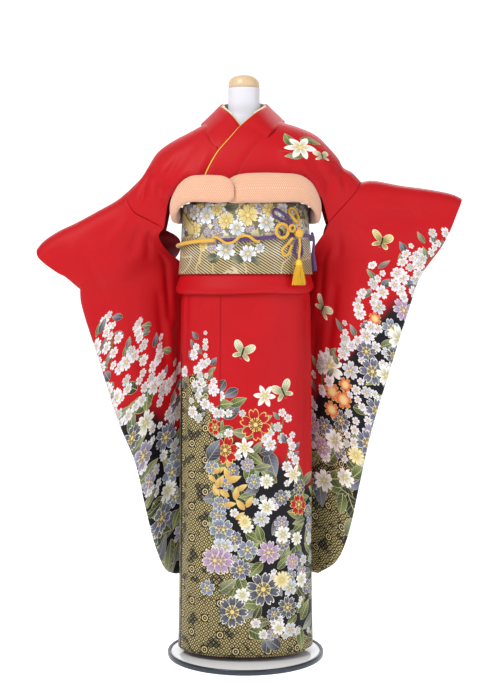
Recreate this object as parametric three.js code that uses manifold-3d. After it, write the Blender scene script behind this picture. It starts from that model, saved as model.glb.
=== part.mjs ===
// A furisode kimono on a limbless dress form and stand. Millimetres, +Z up, the front faces -Y.
// Left and right are the wearer's: the wearer's left is +X. The origin is the middle of the stand's underside.
import * as THREE from 'three';
import { mergeVertices } from 'three/addons/utils/BufferGeometryUtils.js';
import Module from 'manifold-3d';

const wasm = await Module();
wasm.setup();

// ---- Driving sizes ------------------------------------------------------------------------------

const CLOTH = 1.6; // one lined layer of silk
const COLLAR_WALL = 2.4; // the collar strip is folded over
const OBI_WALL = 5; // stiff brocade, wound twice
const AIR = 0.4; // between layers that touch
const SEAM_TURN = 0.06; // degrees, half of the 0.3 mm between pieces at an upright seam
const TURN_STEP = 10; // degrees between the facets of everything wound round the waist
const OVAL = 2 / 2.2; // power that makes the sections slightly fuller than an ellipse
const LAP = 6; // how far the outer front stands off the inner front where they cross

const HEM_UP = 31; // hem above the floor
const UNDER_HEM_UP = 25; // the inner front hangs a little lower
const TUCK_TOP = 1012;
const SKIRT_TOP = 1112;
const OBI = { low: 994, high: 1172 };
const OBIJIME = { radius: 5, thin: 3.4, knotRadius: 12 };
const PLATE = { radius: 196, thick: 12 };
const RIM_RADIUS = 204;
const POLE_RADIUS = 14;
const FORM_LOW = 700;
const NECK = { across: -4, top: 1471.5 };
const CAP_RADIUS = 40;

// Rows of numbers with named columns.
const rows = (names, ...values) =>
  values.map((row) => Object.fromEntries(names.split(' ').map((name, i) => [name, row[i]])));

// Outer face of the skirt: half width and half depth at a height.
const SKIRT = rows('up wide deep',
  [15, 177, 130], [150, 174, 128], [600, 171, 125], [900, 168, 123], [960, 165, 122], [1000, 161, 120],
  [1120, 150, 113]);
const OBI_INSIDE = rows('up wide deep', [OBI.low, 169, 128.5], [OBI.high, 157, 120]);

// Dress form: half width and half depth at a height, from its flat bottom to the neck.
const FORM = rows('up wide deep',
  [FORM_LOW, 96, 66], [706, 116, 82], [724, 134, 96], [800, 147, 105], [1000, 157, 116], [1104, 147.4, 109],
  [1140, 142, 84], [1200, 146, 84], [1280, 160, 84], [1334, 165, 70], [1356, 139, 56], [1373.5, 107, 40],
  [1388, 64, 36], [1406, 44, 32], [1430, 41, 35], [NECK.top, 41, 40]);

// Shoulder and sleeve fold seen from the front: distance out from the middle, and height.
const SHOULDER = {
  right: rows('out up', [109, 1378], [144, 1359], [178, 1341], [209, 1322], [231, 1302], [251, 1270],
    [267, 1244], [299, 1211]),
  left: rows('out up', [95, 1384], [142, 1369], [183, 1350], [207, 1328], [239, 1292], [251, 1270],
    [275, 1256], [298, 1231]),
};
const SLEEVE_TOP = {
  right: rows('out up', [299, 1211], [331, 1185], [386, 1154], [436, 1127], [486, 1103], [523, 1078],
    [540, 1058]),
  left: rows('out up', [298, 1231], [325, 1235], [402, 1222], [481, 1211], [537, 1199], [559, 1188]),
};
const HAND_OPENING = {
  right: rows('out up', [540, 1058], [532, 1036], [481, 997], [466, 990], [428, 957]),
  left: rows('out up', [559, 1188], [547, 1160], [525, 1105], [501, 1057]),
};
const OUTER_EDGE = {
  right: rows('out up', [428, 957], [426, 923], [382, 777], [331, 614], [287, 501], [262, 381], [236, 271],
    [209, 207], [186, 195]),
  left: rows('out up', [501, 1057], [452, 988], [422, 901], [375, 748], [324, 574], [298, 450], [266, 300],
    [238, 235], [194, 198]),
};
const ARMHOLE = {
  right: rows('out up', [299, 1211], [302, 1184], [286, 1153], [246, 1130], [208, 1111]),
  left: rows('out up', [298, 1231], [284, 1206], [248, 1164], [211, 1126]),
};
const INNER_EDGE = {
  right: rows('out up', [208, 1111], [195, 1080], [184, 1030], [172, 930], [140, 800], [105, 680],
    [80, 540], [66, 380], [60, 205]),
  left: rows('out up', [211, 1126], [197, 1084], [184, 1030], [172, 930], [140, 800], [105, 680],
    [80, 540], [66, 380], [60, 205]),
};
// Edge of each front along the collar seam, out from the middle on the panel's own side.
const FRONT_EDGE = {
  right: rows('out up', [109, 1378], [94, 1341], [74, 1303], [44, 1262], [14, 1221], [-10, 1180], [-22, 1150]),
  left: rows('out up', [95, 1384], [68, 1356], [42, 1326], [16, 1294], [0, 1271], [-11, 1246], [-34, 1205],
    [-50, 1150]),
};
const BACK_EDGE = {
  right: rows('out up', [109, 1378], [80, 1376], [30, 1368], [5, 1348], [0.9, 1300], [0.6, 1150]),
  left: rows('out up', [95, 1384], [70, 1378], [30, 1368], [5, 1348], [0.9, 1300], [0.6, 1150]),
};
const bodiceHem = (startOut, endOut, endUp) =>
  rows('out up', [startOut, 1150], [56, 1148], [80, 1153], [102, 1190], [150, 1199], [186, 1192],
    [endOut, endUp]);

// Fullness: how far front and back stand off the middle of the cloth under each point of the top fold,
// and over what drop below the fold they round out to it.
const FULLNESS = rows('out deep drop',
  [0, 118, 150], [100, 116, 140], [150, 109, 120], [200, 96, 100], [250, 78, 80], [299, 52, 60],
  [350, 42, 46], [450, 34, 38], [560, 28, 34]);
// How much of that fullness is left down the length of a sleeve (0 at the fold, 1 at the bottom).
const SLEEVE_SLACK = rows('down share', [0, 1], [0.16, 1], [0.22, 0.62], [0.32, 0.42], [0.6, 0.32],
  [1, 0.26]);
const SLEEVE_WRAP = { deep: 172, out: 330, startUp: 1108, fullUp: 1020 }; // the sleeve swings behind the skirt
const NECK_BASE_UP = 1400; // where the lines of both shoulders would meet
const BODY_EDGE = 0.996; // the body panel and the sleeve stop this share of their width short of the seam
const SLEEVE_START = 0.004;
const ARM_SHARE = 0.16; // of the sleeve's length, down to the end of the armhole and of the hand opening
const EDGE_ROUNDING = 26; // the two layers of a sleeve close over this width at a sewn edge

// Main creases on the upper body and sleeves: a straight run from one point to another, its half width
// and its height, a trough where that is negative.
const CREASES = {
  right: rows('out up toOut toUp wide high', [225, 1235, 190, 1150, 16, -9], [210, 1100, 330, 930, 46, -12],
    [470, 1085, 350, 985, 40, 8], [216, 980, 205, 720, 26, 9]),
  left: rows('out up toOut toUp wide high', [222, 1250, 196, 1150, 16, -9], [320, 1140, 500, 1145, 26, -9],
    [230, 1120, 200, 900, 26, 9], [360, 1080, 300, 800, 44, -8]),
};

// Collar stations from the inner front end, round the neck, to the outer front end. The neck edge and the
// seam edge are given across and up; the depth too where the strip has left the chest.
const COLLAR = rows('neckX neckY neckZ seamX seamY seamZ lift',
  [31, null, 1309, -32, null, 1248, -2.6], [16, null, 1328, -44, null, 1262, -2.4],
  [-11, null, 1362, -76, null, 1303, -2.4], [-38, -50, 1398, -97, null, 1341, -1],
  [-61, 8, 1426, -112, 2, 1377, 0], [-46, 56, 1438, -88, 66, 1391, 0], [0, 74, 1440, 0, 88, 1390, 0],
  [44, 56, 1438, 84, 66, 1393, 0], [53, 8, 1426, 99, 2, 1382, 0], [26, -52, 1400, 72, null, 1353, 3],
  [-11.5, null, 1364, 46, null, 1322, 6], [-38, null, 1332, 20, null, 1290, 6.4],
  [-69, null, 1295, 4, null, 1266, 6.4], [-95, null, 1249, -7, null, 1243, 6.4],
  [-107, null, 1214, -22, null, 1208, 6.4]);
const ACCENT = { shows: 3.5, tucked: 12 }; // of the yellow collar past the neck edge, and under the collar
const WHITE = { shows: 7, tucked: 8, first: 3, last: 9 };

// Scarf round the top of the obi, from its front end round one side to the back.
const SCARF = {
  right: rows('x y up tall deep', [-28, -151.5, 1197, 15, 3], [-40, -150.5, 1200, 28, 5.6],
    [-58, -147.5, 1203, 33, 8.6], [-76, -142.2, 1204, 34, 12], [-102, -138.4, 1205, 34, 13],
    [-138, -127, 1204, 32, 12], [-163, -115, 1190, 30, 9.5], [-180, -96, 1164, 25, 9],
    [-182, -66, 1150, 23, 9], [-176, -20, 1147, 22, 9.5], [-172, 30, 1148, 22, 9], [-152, 84, 1150, 20, 9],
    [-116, 119, 1152, 16, 8]),
  left: rows('x y up tall deep', [-55, -133, 1196, 14, 2.4], [-45, -135.2, 1199, 26, 4.8],
    [-27, -136.4, 1203, 34, 9.2], [-4, -139, 1206, 36, 13],
    [40, -141.2, 1207, 37, 14], [96, -139.2, 1207, 36, 14], [136, -131, 1205, 34, 12.5], [164, -118, 1190, 31, 10.5],
    [181, -98, 1163, 26, 9], [183, -66, 1149, 24, 9], [177, -20, 1146, 22, 9.5], [172, 30, 1148, 22, 9],
    [152, 84, 1150, 20, 9], [116, 119, 1152, 16, 8]),
};

// Folded tuck under the obi, from its inner leg round the fold to its outer leg: how far it stands off
// the skirt.
const TUCK = rows('up out',
  [TUCK_TOP, 2.2], [958, 2.6], [944, 7], [951, 12], [974, 8.6], [OBI.low, 4.8], [TUCK_TOP, 4.6]);

// Drum knot: depth and height of the closed loop of obi at the back, seen from the side.
const DRUM = rows('y up',
  [143.2, 1010], [142.8, 1110], [138, 1185], [141, 1222], [163, 1246], [196, 1240], [218, 1200], [226, 1120],
  [222, 1040], [204, 1000], [174, 984], [150, 990]);
const DRUM_HALF = 148;
const TAIL = rows('y up', [150, 986.6], [151, 960], [152, 925]);
const TAIL_HALF = 146;

const COLOURS = {
  red: [0xc8202c, 0.5], gold: [0xb59b5e, 0.5], black: [0x1d1a22, 0.55], yellow: [0xf2bf3c, 0.6],
  white: [0xf3efe8, 0.7], peach: [0xf0b98f, 0.75], purple: [0x4b2a63, 0.6], brocade: [0xcfc08a, 0.45],
  form: [0xe3e1e6, 0.6], wood: [0xdcb98a, 0.5], plate: [0xf4f4f4, 0.15], steel: [0x4a4e55, 0.3, 0.9],
};

// ---- Small tools --------------------------------------------------------------------------------

const radians = (degrees) => (degrees * Math.PI) / 180;
const clamp = (value, low, high) => Math.min(high, Math.max(low, value));
const smooth = (value) => {
  const t = clamp(value, 0, 1);
  return t * t * (3 - 2 * t);
};
const mix = (a, b, t) => a + (b - a) * t;
const vector = (x, y, z) => new THREE.Vector3(x, y, z);
const steps = (from, to, count) => Array.from({ length: count + 1 }, (_, i) => mix(from, to, i / count));

// One column of a table between its rows, on a smooth curve through them.
function along(table, key, column, at) {
  const last = table.length - 1;
  const rising = Math.sign(table[last][key] - table[0][key]);
  let i = 0;
  while (i < last - 1 && (at - table[i + 1][key]) * rising > 0) i += 1;
  const slope = (k) => {
    const a = table[Math.max(k - 1, 0)];
    const b = table[Math.min(k + 1, last)];
    return (b[column] - a[column]) / (b[key] - a[key]);
  };
  const [a, b] = [table[i], table[i + 1]];
  const span = b[key] - a[key];
  const t = clamp((at - a[key]) / span, 0, 1);
  const [t2, t3] = [t * t, t * t * t];
  return a[column] * (2 * t3 - 3 * t2 + 1) + slope(i) * span * (t3 - 2 * t2 + t)
    + b[column] * (3 * t2 - 2 * t3) + slope(i + 1) * span * (t3 - t2);
}

// A smooth line through the rows of an outline: a share of its length gives a place.
function outline(table) {
  const curve = new THREE.CatmullRomCurve3(table.map((p) => vector(p.out, 0, p.up)), false, 'centripetal');
  return (share) => {
    const p = curve.getPointAt(clamp(share, 0, 1));
    return { out: p.x, up: p.z };
  };
}

// A closed body from points and faces, its faces turned outwards.
function body(points, faces) {
  const triangles = faces.flatMap((f) => (f.length === 4 ? [[f[0], f[1], f[2]], [f[0], f[2], f[3]]] : [f]));
  const volume = triangles.reduce((sum, [a, b, c]) =>
    sum + points[a].dot(points[b].clone().cross(points[c])), 0);
  const index = triangles.flatMap(([a, b, c]) => (volume > 0 ? [a, b, c] : [a, c, b]));
  const geometry = new THREE.BufferGeometry();
  geometry.setAttribute('position', new THREE.Float32BufferAttribute(points.flatMap((p) => p.toArray()), 3));
  geometry.setIndex(index);
  return geometry;
}

// A sheet of cloth as a net of points. Points in the same place become one, so a folded net closes.
function sheet(grids) {
  const points = [];
  const known = new Map();
  const faces = [];
  const keep = (p) => {
    const key = p.toArray().map((v) => Math.round(v * 50)).join();
    if (!known.has(key)) known.set(key, points.push(p) - 1);
    return known.get(key);
  };
  for (const grid of grids) {
    const ids = grid.map((line) => line.map(keep));
    for (let i = 1; i < ids.length; i += 1) {
      for (let j = 1; j < ids[i].length; j += 1) {
        const face = [ids[i - 1][j - 1], ids[i - 1][j], ids[i][j], ids[i][j - 1]];
        const around = face.filter((id, k) => id !== face[(k + 1) % 4]);
        if (around.length > 2) faces.push(around);
      }
    }
  }
  return { points, faces };
}

// Turns a sheet's faces away from a place inside it.
function facingAway(net, inside) {
  const total = net.faces.reduce((sum, face) => {
    const [a, b, c] = [net.points[face[0]], net.points[face[1]], net.points[face[2]]];
    return sum + b.clone().sub(a).cross(c.clone().sub(a)).dot(a.clone().sub(inside));
  }, 0);
  return total > 0 ? net : { points: net.points, faces: net.faces.map((face) => [...face].reverse()) };
}

// The wall of a sheet: from a lift off its points to that lift and the wall's thickness.
function wall(net, thick, lift = 0) {
  const normals = net.points.map(() => vector(0, 0, 0));
  for (const face of net.faces) {
    const [a, b, c] = [net.points[face[0]], net.points[face[1]], net.points[face[2]]];
    const d = net.points[face[3] ?? face[2]];
    const normal = face.length === 4
      ? c.clone().sub(a).cross(d.clone().sub(b)).normalize()
      : b.clone().sub(a).cross(c.clone().sub(a)).normalize();
    face.forEach((id) => normals[id].add(normal));
  }
  normals.forEach((normal) => normal.normalize());
  const count = net.points.length;
  const at = (distance) => net.points.map((p, i) => p.clone().addScaledVector(normals[i], distance));
  const points = [...at(lift + thick), ...at(lift)];
  const edges = new Map();
  const faces = [];
  for (const face of net.faces) {
    faces.push(face, face.map((id) => id + count).reverse());
    face.forEach((id, k) => {
      const next = face[(k + 1) % face.length];
      const twin = `${next},${id}`;
      if (edges.has(twin)) edges.delete(twin);
      else edges.set(`${id},${next}`, [id, next]);
    });
  }
  for (const [a, b] of edges.values()) faces.push([b, a, a + count, b + count]);
  // Both faces of the wall split their quads along the same diagonal.
  const split = faces.flatMap((f, i) => {
    if (f.length === 3) return [f];
    const inner = i % 2 === 1 && i < net.faces.length * 2;
    return inner
      ? [[f[3], f[0], f[1]], [f[3], f[1], f[2]]]
      : [[f[0], f[1], f[2]], [f[0], f[2], f[3]]];
  });
  return body(points, split);
}

// A closed body through rings of points, with flat ends unless it comes back to its start.
function loft(rings, closed = false) {
  const points = rings.flat();
  const size = rings[0].length;
  const faces = [];
  const last = closed ? rings.length : rings.length - 1;
  for (let i = 0; i < last; i += 1) {
    const [here, there] = [i * size, ((i + 1) % rings.length) * size];
    for (let j = 0; j < size; j += 1) {
      const k = (j + 1) % size;
      faces.push([here + j, here + k, there + k, there + j]);
    }
  }
  if (!closed) {
    for (let j = 1; j < size - 1; j += 1) {
      faces.push([0, j + 1, j]);
      const end = (rings.length - 1) * size;
      faces.push([end, end + j, end + j + 1]);
    }
  }
  return body(points, faces);
}

// A cord of round section along a route.
function cord(route, radius, count, closed = false, sides = 6) {
  const curve = new THREE.CatmullRomCurve3(route, closed, 'centripetal');
  const frames = curve.computeFrenetFrames(count, closed);
  const rings = steps(0, 1, count).slice(0, closed ? count : count + 1).map((share, i) => {
    const middle = curve.getPointAt(share);
    const size = typeof radius === 'function' ? radius(share) : radius;
    return Array.from({ length: sides }, (_, k) => {
      const turn = (k / sides) * 2 * Math.PI;
      return middle.clone()
        .addScaledVector(frames.normals[i], Math.cos(turn) * size)
        .addScaledVector(frames.binormals[i], Math.sin(turn) * size);
    });
  });
  return loft(rings, closed);
}

function merged(geometry) {
  geometry.deleteAttribute('normal');
  geometry.deleteAttribute('uv');
  return mergeVertices(geometry, 1e-3);
}

function fuse(geometries) {
  const solids = geometries.map((geometry) => {
    const vertProperties = Float32Array.from(geometry.getAttribute('position').array);
    const triVerts = Uint32Array.from(geometry.getIndex().array);
    return new wasm.Manifold(new wasm.Mesh({ numProp: 3, vertProperties, triVerts }));
  });
  const mesh = solids.reduce((a, b) => a.add(b)).getMesh();
  const geometry = new THREE.BufferGeometry();
  geometry.setAttribute('position', new THREE.BufferAttribute(mesh.vertProperties, 3));
  geometry.setIndex(new THREE.BufferAttribute(mesh.triVerts, 1));
  return geometry;
}

const kimono = new THREE.Group();
function add(name, geometry, [color, roughness, metalness = 0]) {
  const mesh = new THREE.Mesh(geometry, new THREE.MeshStandardMaterial({ color, roughness, metalness }));
  mesh.name = name;
  kimono.add(mesh);
  return mesh;
}

// ---- Shapes wound round the waist ----------------------------------------------------------------

// A place on an oval section, turned from the front middle towards the wearer's left.
function onOval(table, up, turn, out = 0) {
  const [wide, deep] = [along(table, 'up', 'wide', up) + out, along(table, 'up', 'deep', up) + out];
  const power = (value) => Math.sign(value) * Math.abs(value) ** OVAL;
  return vector(wide * power(Math.sin(radians(turn))), -deep * power(Math.cos(radians(turn))), up);
}

// Turns from one seam to another, on the common facets, 0.3 mm clear of the neighbours.
function turns(from, to, clear = SEAM_TURN) {
  const list = [];
  for (let turn = from; turn <= to; turn += TURN_STEP) list.push(turn);
  list[0] += clear;
  list[list.length - 1] -= clear;
  return list;
}

const WAIST_MIDDLE = vector(0, 0, 900);
function skirtPanel(from, to, hem, inset = () => 0) {
  const levels = [hem, 90, 200, 340, 480, 620, 760, 900, 960, 1000, 1060, SKIRT_TOP];
  const grid = levels.map((up) => turns(from, to).map((turn) =>
    onOval(SKIRT, up, turn, -CLOTH - inset(turn, up))));
  return wall(facingAway(sheet([grid]), WAIST_MIDDLE), CLOTH);
}

// The inner front lies under the outer one, and comes out to the side seam.
const UNDER = CLOTH + AIR;
const underInset = (turn) => UNDER * smooth((turn + 90) / 16);
add('skirt_back_right', skirtPanel(-180, -90, HEM_UP), COLOURS.gold);
add('skirt_back_left', skirtPanel(90, 180, HEM_UP), COLOURS.gold);
add('skirt_front_right', skirtPanel(-90, 10, UNDER_HEM_UP, underInset), COLOURS.red);
add('overlap_right', skirtPanel(10, 60, UNDER_HEM_UP, underInset), COLOURS.red);
add('skirt_front_left', skirtPanel(-20, 90, HEM_UP), COLOURS.gold);
add('overlap_left', skirtPanel(-70, -20, HEM_UP), COLOURS.gold);

const tuckGrid = TUCK.map(({ up, out }) => turns(-180, 180, 0).map((turn) => onOval(SKIRT, up, turn, out)));
add('waist_tuck', wall(facingAway(sheet([tuckGrid]), vector(0, 0, 960)), CLOTH), COLOURS.red);

const obiGrid = steps(OBI.low, OBI.high, 2).map((up) =>
  turns(-180, 180, 0).map((turn) => onOval(OBI_INSIDE, up, turn)));
add('obi_band', wall(facingAway(sheet([obiGrid]), WAIST_MIDDLE), OBI_WALL), COLOURS.brocade);

// A place in front of the obi: across and up, and how far off its face.
function onObi(x, up, off) {
  const [wide, deep] = ['wide', 'deep'].map((side) => along(OBI_INSIDE, 'up', side, up) + OBI_WALL + off);
  const share = clamp(Math.abs(x) / wide, 0, 0.999) ** (2 / OVAL);
  return vector(x, -deep * (1 - share) ** (OVAL / 2), up);
}

// The turned corner of the obi's outer end lies on the band at the wearer's right.
const cornerEdge = rows('x up wide', [-160, 1150, 5], [-156, 1130, 13], [-149, 1110, 18], [-142, 1094, 12]);
const cornerGrid = cornerEdge.map(({ x, up, wide }) => steps(x, x + wide, 2).map((across) =>
  onObi(across, up, 0.9)));
add('obi_corner', wall(facingAway(sheet([cornerGrid]), WAIST_MIDDLE), 2), COLOURS.brocade);

function bentStrip(profile, half, closed) {
  const line = closed ? [...profile, profile[0]] : profile;
  const grid = line.map(({ y, up }) => steps(-half, half, 6).map((x) =>
    vector(x, y + 5 * (Math.abs(x) / half) ** 2 * (y > 150 ? -1 : 0), up)));
  return sheet([grid]);
}
add('obi_drum', wall(bentStrip(DRUM, DRUM_HALF, true), 4, -2), COLOURS.brocade);
add('obi_tail', wall(bentStrip(TAIL, TAIL_HALF, false), 4, -2), COLOURS.brocade);

// ---- Upper body and sleeves ----------------------------------------------------------------------

// A patch between four edges: its place at a share across and a share down.
function patch({ top, bottom, inner, outer }) {
  const corner = { a: top(0), b: top(1), c: bottom(0), d: bottom(1) };
  return (across, down) => {
    const [t, b, i, o] = [top(across), bottom(across), inner(down), outer(down)];
    const place = (key) => mix(i[key], o[key], across) + mix(t[key], b[key], down)
      - mix(mix(corner.a[key], corner.b[key], across), mix(corner.c[key], corner.d[key], across), down);
    return { out: place('out'), up: place('up') };
  };
}

function creaseAt(list, out, up) {
  return list.reduce((sum, c) => {
    const [dx, dz] = [c.toOut - c.out, c.toUp - c.up];
    const share = clamp(((out - c.out) * dx + (up - c.up) * dz) / (dx * dx + dz * dz), 0, 1);
    const away = Math.hypot(out - c.out - share * dx, up - c.up - share * dz);
    return sum + c.high * Math.exp(-((away / c.wide) ** 2));
  }, 0);
}

const rounded = (share) => Math.sqrt(1 - (1 - clamp(share, 0, 1)) ** 2);

// How far the front or back stands off the middle of the cloth below a point of the top fold.
function fullness(topOut, drop) {
  return along(FULLNESS, 'out', 'deep', topOut) * rounded(drop / along(FULLNESS, 'out', 'drop', topOut));
}

// The cloth is drawn in towards the belt between the armholes.
function drawnIn(out, up) {
  return 1 - 0.2 * smooth((1235 - up) / 60) * smooth((150 - Math.abs(out)) / 45);
}

const WHICH = { right: -1, left: 1 };
const ARM_ROWS = [0, 0.05, 0.16, 0.33, 0.55, 0.78, 1];
const SLEEVE_ROWS = [...ARM_ROWS.map((share) => share * ARM_SHARE), 0.22, 0.29, 0.37, 0.46, 0.55, 0.64, 0.73,
  0.82, 0.9, 0.96, 0.985, 1];
const SLEEVE_COLUMNS = [0, 0.14, 0.3, 0.46, 0.62, 0.76, 0.87, 0.95, 0.985, 1];
const BODY_COLUMNS = [0, 0.16, 0.34, 0.5, 0.64, 0.76, 0.86, 0.94, 1];

// Height of the shoulder fold over a place on the chest or back. It rises a little towards the neck.
function shoulderUp(which, out) {
  const line = SHOULDER[which];
  const share = Math.abs(out) / line[0].out;
  return share < 1 ? mix(NECK_BASE_UP, line[0].up, share * share) : along(line, 'out', 'up', Math.abs(out));
}

// Half of a body panel, front or back, as lines of points from the fold down.
function bodyHalf(which, face) {
  const side = WHICH[which];
  const front = face < 0;
  const armhole = outline(ARMHOLE[which]);
  const end = armhole(1);
  const edge = outline((front ? FRONT_EDGE : BACK_EDGE)[which]);
  const place = patch({
    top: outline(SHOULDER[which]),
    bottom: outline(bodiceHem(edge(1).out, end.out, end.up)),
    inner: edge,
    outer: armhole,
  });
  return ARM_ROWS.map((down) => BODY_COLUMNS.map((across) => {
    const top = place(across, 0);
    const { out, up } = place(across * BODY_EDGE, down);
    const towardsArm = smooth((across - 0.3) / 0.7);
    const under = mix(Math.abs(out), top.out, towardsArm);
    const drop = mix(shoulderUp(which, out) - up, Math.hypot(out - top.out, up - top.up), towardsArm);
    const lap = front && which === 'left' ? LAP * smooth(drop / 90) * (1 - smooth((across - 0.35) / 0.4)) : 0;
    const fade = smooth((1 - across) * 5) * smooth(down * 4);
    const stand = fullness(under, drop) * drawnIn(out, up) + lap
      + fade * creaseAt(CREASES[which], out, up);
    return vector(side * out, face * stand, up);
  }));
}

function upperBody(which) {
  const back = bodyHalf(which, 1).slice(1).reverse();
  const net = sheet([[...back, ...bodyHalf(which, -1)]]);
  return wall(facingAway(net, vector(WHICH[which] * 150, 0, 1230)), CLOTH);
}
add('body_right', upperBody('right'), COLOURS.red);
add('body_left', upperBody('left'), COLOURS.red);

// One layer of a sleeve, front or back, as lines of points from the fold down.
function sleeveLayer(which, face) {
  const side = WHICH[which];
  const [armhole, innerEdge] = [outline(ARMHOLE[which]), outline(INNER_EDGE[which])];
  const [hand, outerEdge] = [outline(HAND_OPENING[which]), outline(OUTER_EDGE[which])];
  const parts = (first, rest) => (down) =>
    (down <= ARM_SHARE ? first(down / ARM_SHARE) : rest((down - ARM_SHARE) / (1 - ARM_SHARE)));
  const [inner, outer] = [parts(armhole, innerEdge), parts(hand, outerEdge)];
  const bottom = (across) => {
    const [from, to] = [innerEdge(1), outerEdge(1)];
    return { out: mix(from.out, to.out, across), up: mix(from.up, to.up, across) };
  };
  const place = patch({ top: outline(SLEEVE_TOP[which]), bottom, inner, outer });
  const middle = (across, down) => {
    const { out, up } = place(across, down);
    const share = clamp(out / SLEEVE_WRAP.out, 0, 1);
    const swing = smooth((SLEEVE_WRAP.startUp - up) / (SLEEVE_WRAP.startUp - SLEEVE_WRAP.fullUp));
    return { out, up, y: swing * SLEEVE_WRAP.deep * (1 - share * share) ** 2 };
  };
  return SLEEVE_ROWS.map((down) => SLEEVE_COLUMNS.map((across) => {
    const here = middle(Math.max(across, SLEEVE_START), down);
    const [near, far] = [middle(Math.max(across - 0.02, 0), down), middle(Math.min(across + 0.02, 1), down)];
    const run = vector(far.out - near.out, far.y - near.y, 0).normalize();
    const top = place(across, 0);
    const drop = Math.hypot(here.out - top.out, here.up - top.up);
    const wide = Math.hypot(outer(down).out - inner(down).out, outer(down).up - inner(down).up);
    const open = down < ARM_SHARE ? Math.sqrt(1 - (down / ARM_SHARE) ** 3) : 0;
    const shut = 1 - (1 - open) * (1 - rounded(((1 - across) * wide) / EDGE_ROUNDING));
    const foot = rounded(((1 - down) * 900) / EDGE_ROUNDING);
    const fade = smooth(across * 6) * smooth((1 - across) * 6) * smooth(down * 14) * foot;
    const stand = fullness(top.out, drop) * along(SLEEVE_SLACK, 'down', 'share', down) * shut * foot
      + fade * creaseAt(CREASES[which], here.out, here.up);
    const off = face * Math.max(stand, 0);
    return vector(side * (here.out - run.y * off), here.y + run.x * off, here.up);
  }));
}

function sleeve(which) {
  const back = sleeveLayer(which, 1).slice(1).reverse();
  const front = sleeveLayer(which, -1);
  return wall(facingAway(sheet([[...back, ...front]]), vector(WHICH[which] * 300, 40, 800)), CLOTH);
}
add('sleeve_right', sleeve('right'), COLOURS.black);
add('sleeve_left', sleeve('left'), COLOURS.black);

// ---- Collars -------------------------------------------------------------------------------------

// Depth of the chest at a place across and up.
function chest(x, up) {
  const drop = shoulderUp(x < 0 ? 'right' : 'left', x) - up;
  return -fullness(Math.abs(x), Math.max(drop, 0)) * drawnIn(x, up);
}

const SEAM_MARGIN = 7; // the collar's seam edge stops this short, clear of the panels it is sewn to

// The stations in full, numbered, and how much of the strip there lies on the chest.
const STATIONS = COLLAR.map((row, at) => ({
  ...row,
  at,
  neckY: row.neckY ?? chest(row.neckX, row.neckZ),
  seamY: row.seamY ?? chest(row.seamX, row.seamZ),
  onChest: row.neckY === null && row.seamY === null ? 1 : 0,
}));

// A strip beside the collar's neck edge: how far past that edge it starts, and how far under it ends.
function collarStrip(past, under, first = 0, last = COLLAR.length - 1) {
  const grid = steps(first, last, 2 * (last - first)).map((at) => {
    const read = (column) => along(STATIONS, 'at', column, at);
    const neck = vector(read('neckX'), read('neckY'), read('neckZ'));
    const across = vector(read('seamX'), read('seamY'), read('seamZ')).sub(neck);
    const length = across.length();
    const to = under === null ? 1 - SEAM_MARGIN / length : under / length;
    return steps(-past / length, to, under === null ? 3 : 1).map((share) => {
      const place = neck.clone().addScaledVector(across, share);
      const hollow = Math.min(chest(place.x, place.z) - place.y, 0) * clamp(read('onChest'), 0, 1);
      return place.add(vector(0, hollow - read('lift'), 0));
    });
  });
  return facingAway(sheet([grid]), vector(0, 0, 1330));
}
const STRIP_WALL = 1.3;
add('collar', wall(collarStrip(0, null), COLLAR_WALL, CLOTH + 3 * AIR), COLOURS.red);
add('collar_accent', wall(collarStrip(ACCENT.shows, ACCENT.tucked), STRIP_WALL, CLOTH - STRIP_WALL),
  COLOURS.yellow);
add('collar_inner', wall(collarStrip(WHITE.shows, WHITE.tucked, WHITE.first, WHITE.last), STRIP_WALL, -CLOTH - AIR),
  COLOURS.white);

// ---- Scarf, cord and tassel ----------------------------------------------------------------------

function scarf(table) {
  const curve = new THREE.CatmullRomCurve3(table.map((p) => vector(p.x, p.y, p.up)), false, 'centripetal');
  return loft(table.map(({ x, y, up, tall, deep }, i) => {
    const tangent = curve.getTangent(i / (table.length - 1)).setZ(0).normalize();
    return Array.from({ length: 10 }, (_, k) => {
      const turn = (k / 10) * 2 * Math.PI;
      const power = (value) => Math.sign(value) * Math.abs(value) ** 0.8;
      const off = power(Math.cos(turn)) * deep;
      return vector(x + tangent.y * off, y - tangent.x * off, up + power(Math.sin(turn)) * tall);
    });
  }));
}
add('obiage_right', scarf(SCARF.right), COLOURS.peach);
add('obiage_left', scarf(SCARF.left), COLOURS.peach);

// Height of the cord round the obi at a turn from the front middle.
const CORD_UP = rows('turn up', [-180, 1083], [-90, 1068], [-40, 1076], [0, 1080], [50, 1092], [100, 1086],
  [180, 1083]);
const OBI_FACE = OBI_INSIDE.map((row) => ({ ...row, wide: row.wide + OBI_WALL, deep: row.deep + OBI_WALL }));
const roundRoute = steps(-180, 170, 35).map((turn) =>
  onOval(OBI_FACE, along(CORD_UP, 'turn', 'up', turn), turn, OBIJIME.radius + AIR + 0.4));
add('obijime_round', cord(roundRoute, OBIJIME.radius, 40, true), COLOURS.purple);

// A second cord crosses in front of the first twice.
const CROSSING = { from: -80, to: 36, waves: 1.5, swing: 70, off: 8.9 };
const twistRoute = steps(0, 1, 18).map((share) => {
  const x = mix(CROSSING.from, CROSSING.to, share);
  const turn = radians(CROSSING.swing) * Math.cos(share * CROSSING.waves * 2 * Math.PI);
  const up = along(CORD_UP, 'turn', 'up', (Math.asin(x / 170) * 180) / Math.PI) + CROSSING.off * Math.sin(turn);
  return onObi(x, up, OBIJIME.radius + AIR + 0.8 + CROSSING.off * Math.cos(turn));
});
add('obijime_twist', cord(twistRoute, OBIJIME.thin, 26), COLOURS.yellow);

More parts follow.
